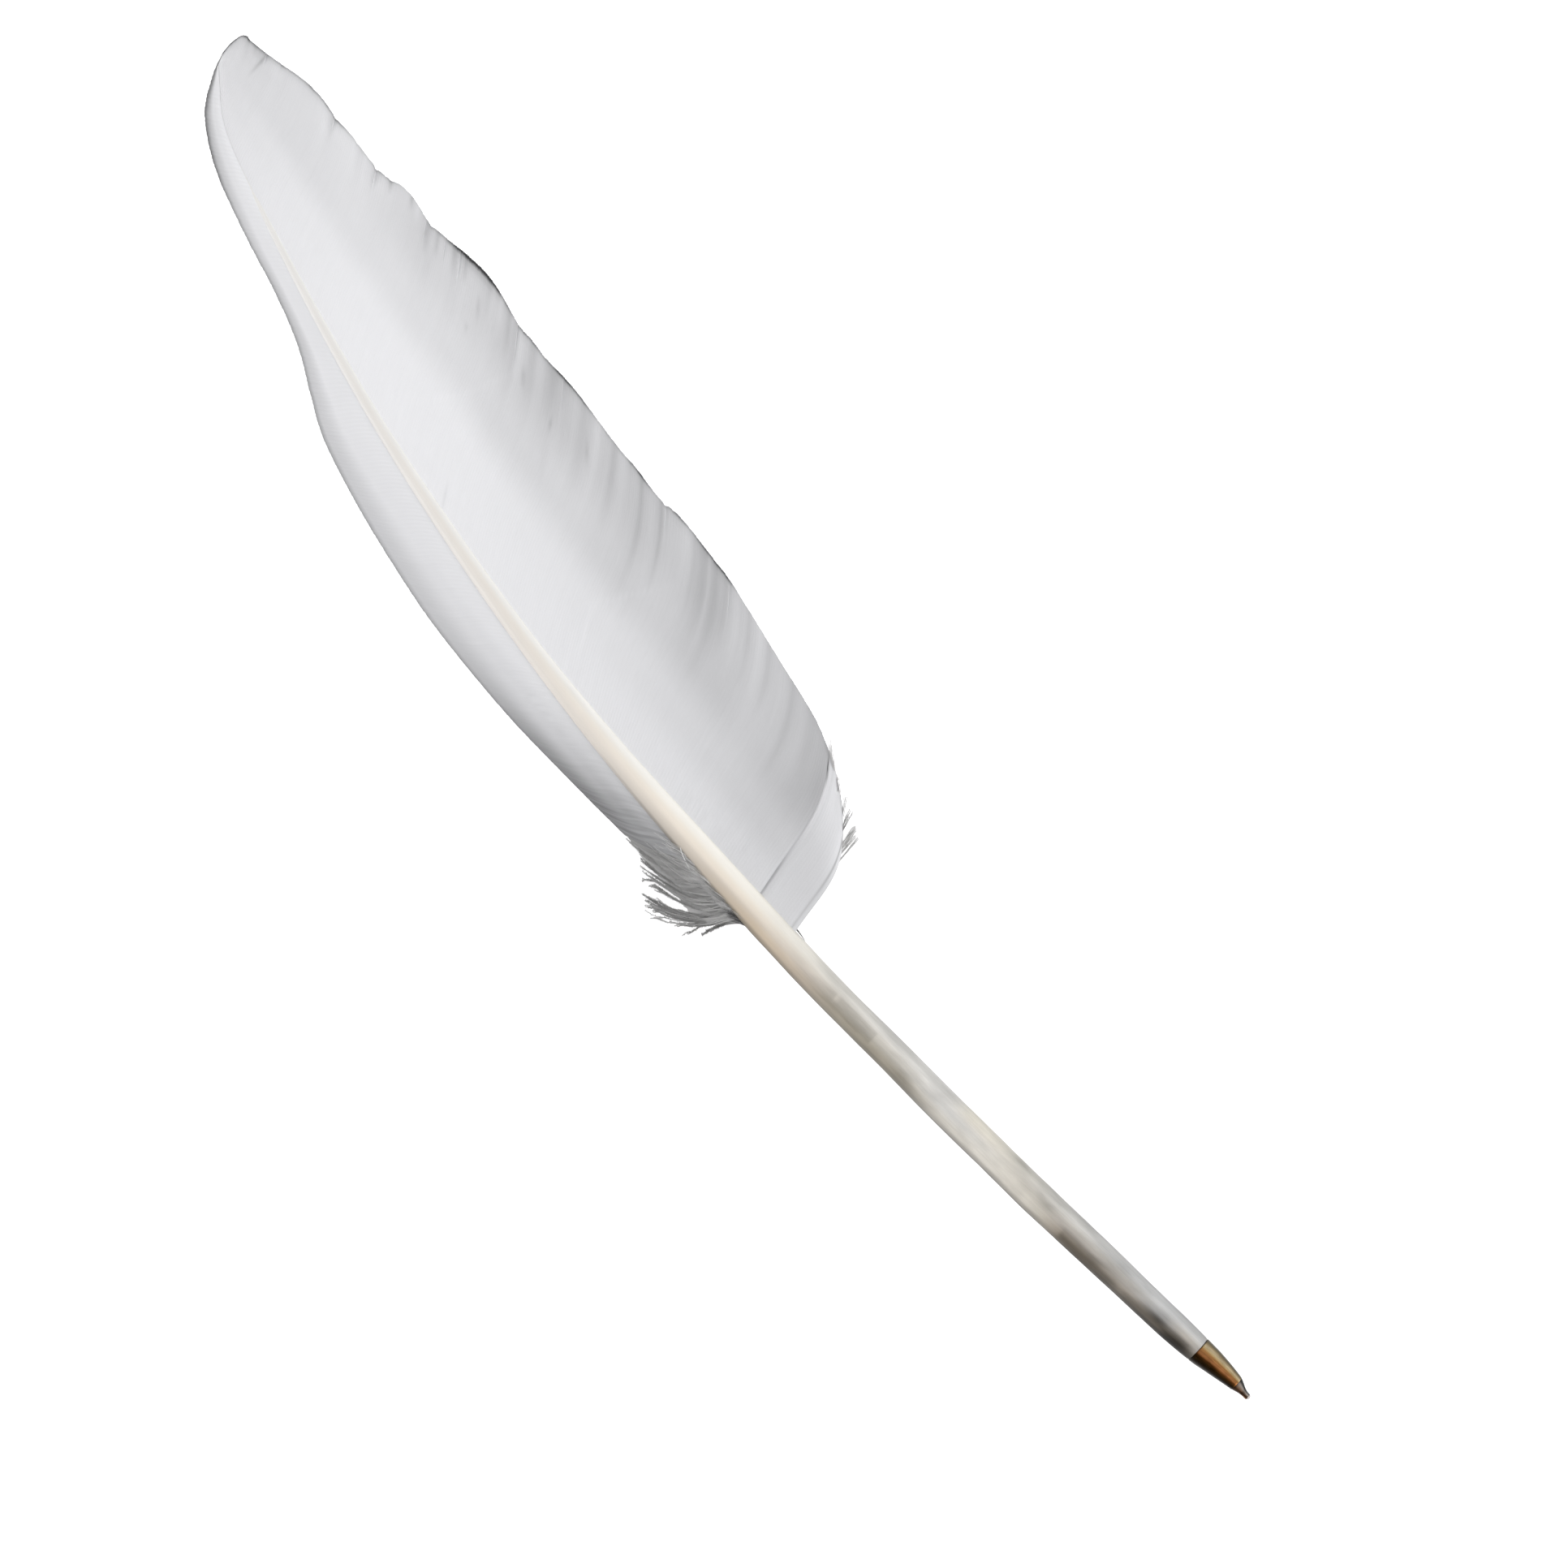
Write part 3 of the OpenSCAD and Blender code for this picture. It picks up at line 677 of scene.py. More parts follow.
def make_base_lobe():
    vane = Vane(BASE_BARBS, 1, WIDE_EDGE_RISE, WIDE_LATE, 0.5, 30, 12)
    below = lerp(0.26, 0.16, smooth(vane.q, 0, 0.6)) * smooth(vane.root, 106.5, 108)
    vane.lift = 0.1 * wobble(vane.number, 5, 6) * vane.q - below
    vane.reach = 0.08 * vane.lot - 0.1 * vane.valley
    vane.solve()
    tone = lerp(0.7, 0.66, smooth(vane.q, 0.05, 0.35)) + 0.1 * smooth(vane.q, 0.45, 0.85)
    # Painted shade of a fold near the lobe's edge and of the strip under the wide vane's edge, with
    # painted light beside the split
    fold_shade = bump(vane.number, 1.7, 0.36) * lerp(0.14, 0.36, smooth(vane.q, 0.3, 0.9))
    split_light = 0.05 * bump(vane.root, 107.9, 0.5) * smooth(vane.q, 0.2, 0.6)
    under_vane_shade = 0.2 * smooth(vane.root, 107.8, 107.95) * (1 - smooth(vane.q, 0.15, 0.4))
    tone = tone - fold_shade + split_light - under_vane_shade
    # Painted shadow in the dark gap at the split's end
    tone = tone - 0.45 * patches(vane.run, vane.side, [(113.6, 24.4, 1.3, 0.2, 50, 1)])
    # Painted shade along the lobe's edge
    rim = 0.12 + 0.25 * bump(vane.tip, 107.5, 2.5)
    tone = tone - edge_shade(vane, 0.5, rim)
    return add_piece(vane.mesh("base_lobe_barbs", tone, vane_material), "vane", "wide_vane_base")


def make_narrow_vane():
    vane = Vane(NARROW_BARBS, -1, NARROW_EDGE_RISE, NARROW_LATE, 0.75, 24, 13)
    vane.lift = 0.1 * wobble(vane.number, 9, 7) * smooth(vane.q, 0.3, 1)
    vane.reach = 0.03 * vane.lot - 0.04 * vane.valley
    vane.solve()
    # Painted shade and light on the narrow vane
    tone = blended(NARROW_TONES_AND_SHADE, vane.tip, vane.q)
    combed = 0.04 * vane.lot + 0.05 * wobble(vane.along + 0.15 * vane.out, 0.4, 15)
    tone = tone + combed * (1 - smooth(vane.tip, 130, 158))
    # Painted shade and light of fine ripples near the shaft
    ripple_shade = patches(vane.run, vane.side, [(150, 1.4, 9, 2.4, -4, 1)])
    tone = tone + 0.05 * ripple_shade * wobble(vane.along, 0.35, 17) * wobble(vane.out, 1.5, 18)
    # Painted shade along the narrow vane's edge
    tone = tone - edge_shade(vane, 0.34, curve(NARROW_RIM_SHADE, vane.tip)) * smooth(tone, 0, 1)
    return add_piece(vane.mesh("narrow_vane_barbs", tone, vane_material), "vane", "narrow_vane")


def make_down_sheet():
    vane = Vane(DOWN_BARBS, -1, NARROW_EDGE_RISE, DOWN_LATE, 0.4, 24, 14)
    vane.lift = -0.35 + 0.15 * wobble(vane.number, 3, 8) * vane.q
    vane.reach = 0.35 * vane.lot - 0.1 * vane.valley
    vane.solve()
    tone = 0.55 + 0.08 * vane.lot + 0.12 * wobble(vane.along, 0.3, 9)
    # Painted shadow under the shaft's edge, at the root of the down
    tone = tone - 0.45 * bump(vane.run, 107.6, 2) * bump(vane.side, -1.7, 0.8)
    return add_piece(vane.mesh("down_sheet", tone, down_material, 0.06), "down", "downy_barbs")


# ---------------------------------------------------------------- fibres


class Fibres:
    """Closed tapering fibres gathered into one mesh."""

    def __init__(self, seed):
        self.random = np.random.default_rng(seed)
        self.points, self.faces, self.tones, self.flows = [], [], [], []
        self.count = 0

    def gather(self, points, faces, tone, flow):
        """Adds a closed shape to the mesh."""
        self.points.append(points)
        self.faces.append(faces + self.count)
        self.tones.append(np.broadcast_to(tone, len(points)))
        self.flows.append(flow)
        self.count += len(points)

    def tube(self, path, thick, tone, sides=4, end=0.3):
        """Fibre along a path, thick mm across at its root, and end times that at its tip."""
        along, side, up = axes_along(path)
        t = np.linspace(0, 1, len(path))
        r = (thick / 2 * lerp(1, end, t))[:, None, None]
        turn = (np.arange(sides) * 2 * math.pi / sides)[None, :, None]
        rings = path[:, None] + r * (np.cos(turn) * side[:, None] + np.sin(turn) * up[:, None])
        ends = np.stack([path[0] - along[0] * thick / 2, path[-1] + along[-1] * thick])
        body = grid_faces(len(path), sides, closed=True)
        body = np.concatenate([body[:, [0, 1, 2]], body[:, [0, 2, 3]]])
        k = np.arange(sides)
        foot, last = len(path) * sides, (len(path) - 1) * sides
        caps = [
            np.stack([np.full(sides, foot), (k + 1) % sides, k], -1),
            np.stack([np.full(sides, foot + 1), last + k, last + (k + 1) % sides], -1),
        ]
        points = np.concatenate([rings.reshape(-1, 3), ends])
        flow = np.zeros((len(points), 3))
        flow[:, 0] = self.random.uniform(0, 100)
        flow[:-2, 1] = np.repeat(t, sides) * 10
        self.gather(points, np.concatenate([body, *caps]), tone, flow)

    def barbules(self, path, spacing, length, width, tone, start=0.1):
        """Fine closed spikes round a path, from share start to its tip."""
        steps = np.linalg.norm(np.diff(path, axis=0), axis=1)
        reached = np.concatenate([[0], np.cumsum(steps)])
        count = int(reached[-1] * (1 - start) / spacing)
        if count < 2:
            return
        at = np.linspace(start, 0.99, count) + self.random.normal(0, 0.4 * spacing / reached[-1], count)
        at = np.clip(at, 0, 1)
        foot = np.stack([np.interp(at * reached[-1], reached, path[:, k]) for k in range(3)], -1)
        along, side, up = (
            np.stack([np.interp(at * reached[-1], reached, v[:, k]) for k in range(3)], -1)
            for v in axes_along(path)
        )
        lean = np.radians(self.random.uniform(15, 75, count))[:, None]
        turn = self.random.choice([0.0, math.pi], count) + self.random.normal(0, 0.4, count)
        turn = turn[:, None]
        way = along * np.cos(lean) + (side * np.cos(turn) + up * np.sin(turn)) * np.sin(lean)
        size = length * self.random.uniform(0.4, 1.2, count)
        tip = foot + way * size[:, None]
        half = width / 2 * self.random.uniform(0.6, 1.3, count)[:, None]
        corners = [foot - along * half, foot + along * half, foot + up * half * 1.6, tip]
        first = np.arange(count)[:, None] * 4
        faces = np.concatenate([first + f for f in ([0, 1, 3], [1, 2, 3], [2, 0, 3], [0, 2, 1])])
        flow = np.zeros((count * 4, 3))
        flow[:, 0] = np.repeat(self.random.uniform(0, 100, count), 4)
        self.gather(np.stack(corners, 1).reshape(-1, 3), faces, tone, flow)

    def mesh(self, name, material):
        """Object with all the fibres, facing outwards."""
        faces = np.concatenate(self.faces)[:, ::-1]
        return mesh_object(
            name, placed(np.concatenate(self.points)), faces.tolist(), material, corner=130,
            tone=np.concatenate(self.tones), flow=np.concatenate(self.flows),
        )


def unit(v):
    """Vectors of length 1 in the same directions."""
    return v / np.linalg.norm(v, axis=-1, keepdims=True)


def axes_along(path):
    """Directions along, across and up from a path, at each of its points."""
    along = unit(np.gradient(path, axis=0))
    side = unit(np.cross([0, 0, 1], along))
    return along, side, np.cross(along, side)


HAIR_TONES = [0.35, 0.5, 0.65, 0.8, 1.1]
# Loose strands of down: the root's run, then run and side along the strand, count and spread
DOWN_STRANDS = [
    [107.4, [(108.6, -3), (109.6, -5), (110.3, -6.8)], 9, 0.25],
    [108, [(109.8, -3.8), (111.3, -6), (111.9, -8), (112.6, -9.8)], 3, 0.12],
    [108.2, [(110.3, -4.2), (112.5, -6.6), (115.2, -8.7), (117.2, -9.8), (118.8, -10.5)], 4, 0.18],
    [108.4, [(111, -4.6), (114.2, -6.6), (117.2, -8), (119.2, -8.5), (121.2, -9.1)], 12, 0.32],
    [108.3, [(110.8, -4.6), (113.4, -6.6), (115.6, -7.7), (117.6, -8.4)], 12, 0.4],
    [107.9, [(109.9, -4), (111.4, -5.8), (112.9, -7), (114.6, -8.4)], 8, 0.4],
    [108.6, [(111.5, -4.8), (115, -7.2), (117.6, -8.5), (119.2, -9.4), (120.2, -10.4)], 5, 0.18],
    [108.4, [(111, -4.6), (114, -6.9), (116.6, -8.1), (118, -9.2), (118.8, -10.3)], 6, 0.2],
    [108, [(110.4, -4.2), (112.4, -6.3), (114, -7.6)], 9, 0.45],
    [109, [(111.6, -4.2), (114, -6.2), (116, -7.4)], 12, 0.4],
    [109.8, [(112.6, -3.8), (116, -5.5), (119.4, -6.4), (121.4, -7)], 8, 0.22],
    [110.6, [(114, -3.9), (118, -5.3), (121.4, -6.1), (122.9, -7.3)], 4, 0.12],
    [111.2, [(115, -3.9), (119.5, -5.3), (124.6, -6.1)], 8, 0.16],
    [112.4, [(116.5, -3.7), (121, -4.7), (125.8, -5.2)], 6, 0.15],
    [114, [(118.5, -3.3), (124, -4), (129.3, -4.5)], 6, 0.18],
]


def down_path(root, points, height, steps=18):
    """Path of a strand from under the shaft's edge to its tip near the table."""
    through = [(root, lower_edge(root) + 0.35), *points]
    level = row_at(through, np.linspace(0, len(through) - 1, steps))
    t = np.linspace(0, 1, steps)
    rise = lerp(shaft_rise(root) - 0.3, height, 0.35 * t + 0.65 * t * t)
    return np.column_stack([level, rise])


def waved(random, path, size, curl=0.0):
    """Path with a slack wave that grows towards its tip, and small curls curl mm wide."""
    t = np.linspace(0, 1, len(path))[:, None]
    wave = np.sin(2 * math.pi * (random.uniform(0.8, 1.8) * t + random.uniform(0, 1)))
    turns = 2 * math.pi * (random.uniform(2.5, 4) * t + random.uniform(0, 1))
    loops = np.concatenate([np.cos(turns), np.sin(turns), 0.5 * np.sin(turns)], 1)
    return path + wave * t * random.normal(0, size, 3) + curl * smooth(t, 0.45, 0.9) * loops


def add_tufts(fibres):
    """Long curled strands, thick with barbules towards their tips."""
    random = fibres.random
    for root, points, count, spread in DOWN_STRANDS:
        for _ in range(count):
            shift = np.linspace(0.4, 1, len(points))[:, None] * random.normal(0, spread, 2)
            start = root + random.normal(0, 0.5)
            height = max(0.5, random.normal(1.5, 0.4))
            path = down_path(start, np.array(points) + shift, height, 30)
            path = waved(random, path, 0.13, random.uniform(0, 0.16))
            path = path[: random.integers(23, 31)]
            tone = random.uniform(0.4, 0.75)
            fibres.tube(path, 0.1, tone, end=0.8)
            fibres.barbules(path, 0.1, 0.46, 0.085, tone * 0.9, 0.35)
            fibres.barbules(path, 0.07, 0.34, 0.09, tone * 0.9, 0.75)


def add_combed_down(fibres, count):
    """Hairs that leave the shaft's lower edge and lean towards the feather's tip."""
    random = fibres.random
    for _ in range(count):
        t = random.uniform(0, 1)
        start = lerp(107.4, 123, t)
        out = random.uniform(0.2, 1)
        reach = lerp(5, 11, smooth(t, 0, 0.4)) * random.uniform(0.7, 1.1)
        drop = out * lerp(3.4, 2.6, t)
        side = lower_edge(start)
        bends = [(0.3, 0.5), (0.62, 0.85), (1, 1)]
        points = [(start + a * reach, side - b * drop + 0.07 * a * reach) for a, b in bends]
        path = waved(random, down_path(start, points, random.uniform(1.8, 3.8)), 0.1)
        # Hairs near the down's root are dark: painted shade under the shaft's edge
        tone = random.choice([0.12, 0.25, 0.45] if start < 109.4 and out < 0.6 else HAIR_TONES)
        fibres.tube(path, 0.07, tone)
        fibres.barbules(path, 0.4, 0.3, 0.05, tone, 0.3)


def add_shadow_hairs(fibres, count):
    """Short dark hairs where the down starts: painted shadow under the shaft's edge."""
    random = fibres.random
    for _ in range(count):
        start = random.uniform(105.9, 108.6)
        side = lower_edge(start)
        rise = shaft_rise(start) + random.uniform(-0.6, 0.5)
        reach, drop = random.uniform(1.2, 3), random.uniform(0.1, 0.9)
        path = bezier([
            (start, side + 0.25, rise), (start + 0.5 * reach, side - 0.2 * drop, rise + 0.3),
            (start + reach, side - drop, rise),
        ], 8)
        fibres.tube(path, 0.09, random.uniform(0.02, 0.12))


def add_hairs_over_shaft(fibres, count):
    """Short fine hairs that start on the shaft and hide its lower edge."""
    random = fibres.random
    for _ in range(count):
        start = random.uniform(107.5, 121)
        reach = random.uniform(3, 6.5)
        inside = lower_edge(start) + random.uniform(0.25, 0.75)
        rise = shaft_rise(start) + random.uniform(0.9, 1.5)
        drop = random.uniform(0.6, 1.5)
        path = bezier([
            (start, inside, rise), (start + 0.4 * reach, inside - 0.1 * drop, rise),
            (start + 0.7 * reach, inside - 0.6 * drop, rise - 0.2),
            (start + reach, inside - drop + 0.05 * reach, rise - 1),
        ], 12)
        path = waved(random, path, 0.06)
        fibres.tube(path, 0.055, random.choice(HAIR_TONES), end=0.5)


def make_down_strands():
    fibres = Fibres(21)
    add_tufts(fibres)
    add_combed_down(fibres, 210)
    add_shadow_hairs(fibres, 45)
    add_hairs_over_shaft(fibres, 110)
    return add_piece(fibres.mesh("down_strands", down_material), "down", "downy_barbs")


def make_white_filament():
    """One bright hair that crosses the shaft's lower edge above the down."""
    fibres = Fibres(22)
    rise = shaft_rise(121)
    path = bezier([
        (122.1, 0.6, rise + 1.4), (121.3, 0, rise + 1.6), (120, -0.5, rise + 1.2),
        (118.8, -0.85, rise + 0.8),
    ], 16)
    fibres.tube(path, 0.17, 1.2, end=0.5)
    return add_piece(fibres.mesh("white_filament", down_material), "down", "downy_barbs")


# Wisps at the base lobe's edge: foot, tip, rise, count, spread, tone
LOBE_WISPS = [
    [(104.3, 18), (104.8, 21.3), 5.1, 15, 0.15, 0.6],
    [(103.9, 17.4), (104.3, 21.1), 5.1, 16, 0.2, 0.65],
    [(103.4, 16.6), (103.8, 20.4), 5.1, 15, 0.2, 0.65],
    [(102.9, 15.9), (103.3, 20.4), 5.1, 12, 0.15, 0.65],
    [(105.9, 19.6), (107.3, 22.9), 5.0, 8, 0.2, 0.35],
    [(105.6, 19.4), (106.5, 22.7), 5.0, 6, 0.15, 0.35],
    [(107.3, 21.1), (109.1, 23.7), 4.9, 6, 0.2, 0.4],
    [(109, 22.4), (112, 24.9), 4.8, 7, 0.15, 0.5],
    [(111.8, 24.4), (117, 28.2), 4.7, 12, 0.25, 0.8],
]


def make_lobe_wisps():
    fibres = Fibres(23)
    random = fibres.random
    for foot, tip, rise, count, spread, tone in LOBE_WISPS:
        for _ in range(count):
            a = np.add(foot, random.normal(0, spread * 0.5, 2))
            b = np.add(tip, random.normal(0, spread, 2) * [1, 1.2])
            middle = (a + b) / 2 + random.normal(0, 0.15, 2)
            tip_rise = rise + random.uniform(-0.2, 0.4)
            path = bezier([(*a, rise), (*middle, rise + 0.2), (*b, tip_rise)], 10)
            fibres.tube(path, 0.08, tone + random.normal(0, 0.08), end=0.4)
            fibres.barbules(path, 0.35, 0.3, 0.05, tone, 0.3)
    return add_piece(fibres.mesh("lobe_wisps", down_material), "vane", "wide_vane_base")


# ---------------------------------------------------------------- shaft and barrel

RING = 72
# Turn of each point of a ring: 0 on the wide vane's side, and a quarter turn on top
TURNS = np.linspace(0, 2 * math.pi, RING, endpoint=False)[None, :]
GROOVE = 0.16  # depth of the groove below, as a share of the height
DARKEST = 0.012
# Lightness of the horn along the quill, as seen from above, at places across it: -1 is its
# edge on the narrow vane's side and 1 its edge on the wide vane's. Besides its stains it holds
# painted shade along both edges, darkest on the narrow vane's side, and a painted highlight band
# on the wide vane's side
HORN_TONES_AND_SHADE = [
    (-1, [[11, 0.01], [38, 0.03], [42, 0.12], [65, 0.14], [100, 0.12], [120, 0.2], [145, 0.65],
          [180, 0.9], [256, 0.9]]),
    (-0.9, [[11, 0.05], [14, 0.008], [16, 0.01], [18, 0.035], [21, 0.05], [26, 0.1], [30, 0.09],
            [38, 0.12], [42, 0.3], [65, 0.37], [72, 0.22], [88, 0.25], [100, 0.3], [110, 0.27],
            [116, 0.36], [125, 0.32], [136, 0.52], [145, 0.78], [170, 0.92], [210, 0.97],
            [256, 0.95]]),
    (-0.65, [[11, 0.13], [13, 0.05], [16, 0.05], [18, 0.11], [20, 0.13], [26, 0.16], [38, 0.13],
             [40.5, 0.33], [45, 0.6], [60, 0.72], [72, 0.36], [90, 0.4], [98, 0.53],
             [120, 0.55], [145, 0.79], [170, 0.92], [256, 0.95]]),
    (-0.3, [[11, 0.3], [12, 0.22], [13, 0.15], [16, 0.15], [20, 0.16], [25, 0.32], [33, 0.24],
            [38.5, 0.25], [40.5, 0.38], [47, 0.63], [70, 0.61], [74, 0.42], [90, 0.44],
            [97, 0.58], [115, 0.58], [140, 0.74], [256, 0.83]]),
    (0.02, [[11, 0.36], [20, 0.36], [43, 0.43], [47, 0.55], [70, 0.54], [80, 0.46], [90, 0.48],
            [98, 0.61], [120, 0.74], [160, 0.72], [256, 0.76]]),
    (0.42, [[11, 0.48], [20, 0.5], [30, 0.45], [45, 0.48], [60, 0.55], [80, 0.54], [88, 0.51],
            [100, 0.64], [120, 0.75], [150, 0.7], [256, 0.7]]),
    (0.82, [[11, 0.33], [25, 0.37], [45, 0.35], [52, 0.36], [60, 0.48], [66, 0.42], [85, 0.42],
            [93, 0.46], [100, 0.62], [115, 0.72], [170, 0.7], [256, 0.67]]),
    (0.97, [[11, 0.25], [45, 0.3], [60, 0.4], [85, 0.36], [115, 0.65], [256, 0.65]]),
]
# Warmth of the horn at places across it: how much redder than blue. It follows brown stains along the
# barrel, and its fall on the wide vane's side is a painted highlight
HORN_WARMTH = [
    (-0.65, [[11, 0.14], [16, 0.18], [26, 0.15], [37, 0.2], [41, 0.13], [45, 0.09], [66, 0.08],
             [75, 0.14], [91, 0.16], [105, 0.21], [120, 0.12], [150, 0.07], [200, 0.03],
             [256, 0.01]]),
    (0, [[11, 0.07], [14, 0.09], [19, 0.02], [26, 0.07], [50, 0.08], [65, 0.03], [75, 0.07],
         [100, 0.11], [110, 0.12], [150, 0.08], [200, 0.04], [256, 0.01]]),
    (0.6, [[11, 0.01], [20, 0], [38, 0.03], [60, 0.09], [66, 0.03], [100, 0.06], [150, 0.03],
           [256, 0.015]]),
]
# Cloudy patches in the horn: run and place across, half length and half width, lightness added
HORN_CLOUDS = [
    (14.3, -0.4, 2, 0.25, -0.03), (16.8, -0.05, 0.9, 0.2, 0.05), (18.8, -0.35, 1.6, 0.2, -0.06),
    (18.6, 0.15, 1.8, 0.15, -0.05), (23.5, -0.1, 1.4, 0.2, 0.06), (26.3, -0.5, 1.1, 0.25, 0.07),
    (32.5, -0.35, 2, 0.2, -0.05), (22.5, 0.5, 1.6, 0.25, -0.05), (28, 0.45, 2, 0.25, -0.05),
    (36.5, 0.5, 3, 0.2, 0.06), (43, 0.15, 1.5, 0.2, -0.07), (46.3, -0.35, 1.2, 0.3, 0.06),
    (45.2, 0.35, 1, 0.2, -0.06), (50.5, 0.85, 1.6, 0.15, -0.08), (57, 0.75, 5, 0.2, 0.05),
    (66.8, 0.2, 2.2, 0.2, -0.05), (70, 0.35, 1.2, 0.15, 0.06), (73, -0.45, 1.6, 0.25, -0.06),
    (84, 0.55, 5, 0.12, 0.05), (88.7, 0.05, 0.35, 0.25, 0.12), (93.5, 0.2, 1.6, 0.2, 0.04),
]


def centre_line(runs):
    """Points on the quill's centre line."""
    return np.column_stack([runs, curve(SHAFT_SIDE, runs), shaft_rise(runs)])


def quill_rings(runs, inset=0.0):
    """Rings of points round the barrel or shaft, inset mm under its surface."""
    centre = centre_line(runs)
    along = unit(centre_line(runs + 0.25) - centre)
    side = unit(np.cross([0, 0, 1], along))
    up = np.cross(along, side)
    x, y = np.cos(TURNS), np.sin(TURNS)
    # The round barrel becomes a squarer shaft, with a groove underneath
    shaft = smooth(runs, 104, 122)[:, None]
    power = lerp(1, 0.8, shaft)
    dent = shaft * GROOVE * np.maximum(0, -y - 0.7) / 0.3
    across = np.sign(x) * np.abs(x) ** power
    above = np.sign(y) * np.abs(y) ** power + 2 * dent
    wide = curve(SHAFT_WIDE, runs)[:, None] / 2 - inset
    high = curve(SHAFT_HIGH, runs)[:, None] / 2 - inset
    rough = 0.0 if inset else quill_relief(runs[:, None], TURNS)
    return (
        centre[:, None]
        + side[:, None] * ((wide + rough) * across)[..., None]
        + up[:, None] * ((high + rough) * above)[..., None]
    )


def quill_relief(run, turn):
    """Shallow scraped flats and swellings of the horn."""
    fade = smooth(run, 12, 20) * (1 - 0.6 * smooth(run, 90, 120)) * (1 - 0.6 * smooth(run, 180, 240))
    ripple = wobble(run, 7, 31) * np.cos(turn + 1) + wobble(run, 5, 32) * np.cos(2 * turn)
    return 0.03 * fade * (ripple + 0.7 * wobble(run, 2.5, 33) * np.cos(3 * turn + 2))


def underside(turn):
    """How much of a ring's shading is lifted on its underside, which the table lights."""
    return 0.8 * smooth(-np.sin(turn), 0.1, 0.6)


def horn_shaded_tint(run, turn):
    """Colour of the horn round and along the quill: its stains, with painted shade and a painted
    highlight as seen from above, lifted on its underside.
    """
    x = np.cos(turn)
    level = blended(HORN_TONES_AND_SHADE, run, x)
    for place_run, place_x, length, width, depth in HORN_CLOUDS:
        level = level + depth * bump(run, place_run, length) * bump(x, place_x, width)
    # A membrane inside the barrel shows through with a straight end, and so does a pale patch
    membrane = smooth(run, 80.2, 80.5) * (1 - smooth(run, 88, 95))
    level = level - 0.08 * membrane * smooth(x, -0.6, -0.45) * (1 - smooth(x, 0.22, 0.34))
    pale = smooth(run, 38.6, 39.3) * (1 - smooth(run, 41, 45))
    level = np.maximum(level + 0.08 * pale * bump(x, -0.5, 0.3), DARKEST)
    level = lerp(level, np.maximum(level, 0.45), underside(turn))
    warm = blended(HORN_WARMTH, run, x)
    middle = smooth(run, 38, 44) * (1 - smooth(run, 84, 99))
    green = warm * np.maximum(lerp(0.08, 0.4, smooth(x, -0.2, 0.8)), 0.28 * middle)
    channels = [level * (1 + warm), level * (1 + green), level * (1 - warm), np.ones_like(level)]
    return np.stack(channels, -1)


def horn_mottle(run):
    """How cloudy the horn is: the barrel's, fading to the shaft's."""
    return 1 - 0.85 * smooth(run, 84, 108)


def hollow_faces(rings):
    """Squares between rings of points, with the last ring joined to the first."""
    k = np.arange(RING)
    after = (k + 1) % RING
    last = (rings - 1) * RING
    joining = np.stack([last + k, last + after, after, k], -1)
    return np.concatenate([grid_faces(rings, RING, closed=True), joining])


def horn_object(name, rings, runs, faces, material):
    """Object over rings of points, tinted and with its own flow of horn."""
    run, turn = np.broadcast_arrays(runs[:, None], TURNS)
    flow = np.stack([run, np.sin(turn) * 2.6, np.cos(turn) * 2.6], -1).reshape(-1, 3)
    return mesh_object(
        name, placed(rings), faces, material,
        tint=horn_shaded_tint(run, turn).reshape(-1, 4), flow=flow, mottle=horn_mottle(run).ravel(),
    )


def make_shaft():
    outer = np.linspace(HEEL, SHAFT_END, 420)
    inner = np.linspace(HEEL, 230, 60)
    skin, cave = quill_rings(outer), quill_rings(inner, 0.3)
    rings = np.concatenate([skin[::-1], cave])
    runs = np.concatenate([outer[::-1], inner])
    faces = grid_faces(len(rings), RING, closed=True).tolist()
    last = (len(rings) - 1) * RING
    faces += [list(range(RING))[::-1], list(range(last, last + RING))]
    shaft = horn_object("shaft", rings, runs, faces, shaft_material)
    return add_piece(shaft, "shaft_horn", "rachis_cortex")


def bore_rings(runs, radii):
    """Rings round the barrel's straight axis."""
    r = np.array(radii)[:, None]
    runs = np.array(runs)[:, None]
    up = np.sin(TURNS) * r
    return np.stack([
        runs + up * SLOPE * -TILT, BARREL_SIDE + np.cos(TURNS) * r, shaft_rise(runs) + up * TILT,
    ], -1)


def make_barrel():
    mouth = 11.02
    outer = np.concatenate([[mouth, mouth + 0.06], np.linspace(mouth + 0.2, HEEL, 340)])
    skin = quill_rings(outer)
    bore_runs = [mouth, mouth + 0.3, 24, 32, 60, 76, HEEL - 0.02]
    bore = bore_rings(bore_runs, [1.86, 1.8, 1.8, 2.15, 2.15, 2.05, 1.95])
    rings = np.concatenate([skin[::-1], bore])
    runs = np.concatenate([outer[::-1], bore_runs])
    faces = hollow_faces(len(rings)).tolist()
    barrel = horn_object("barrel", rings, runs, faces, barrel_material)
    return add_piece(barrel, "barrel_horn", "quill_barrel")


def make_stub():
    fibres = Fibres(41)
    rise = shaft_rise(99.6) + 0.4
    path = bezier([(98.4, 3.45, rise), (99.5, 3.72, rise + 0.1), (100.5, 3.78, rise)], 8)
    fibres.tube(path[::-1], 0.28, 0.04, 6, 0.3)
    return add_piece(fibres.mesh("stub_of_barb", down_material), "barb_stub", "barb_stub")


# ---------------------------------------------------------------- metal point

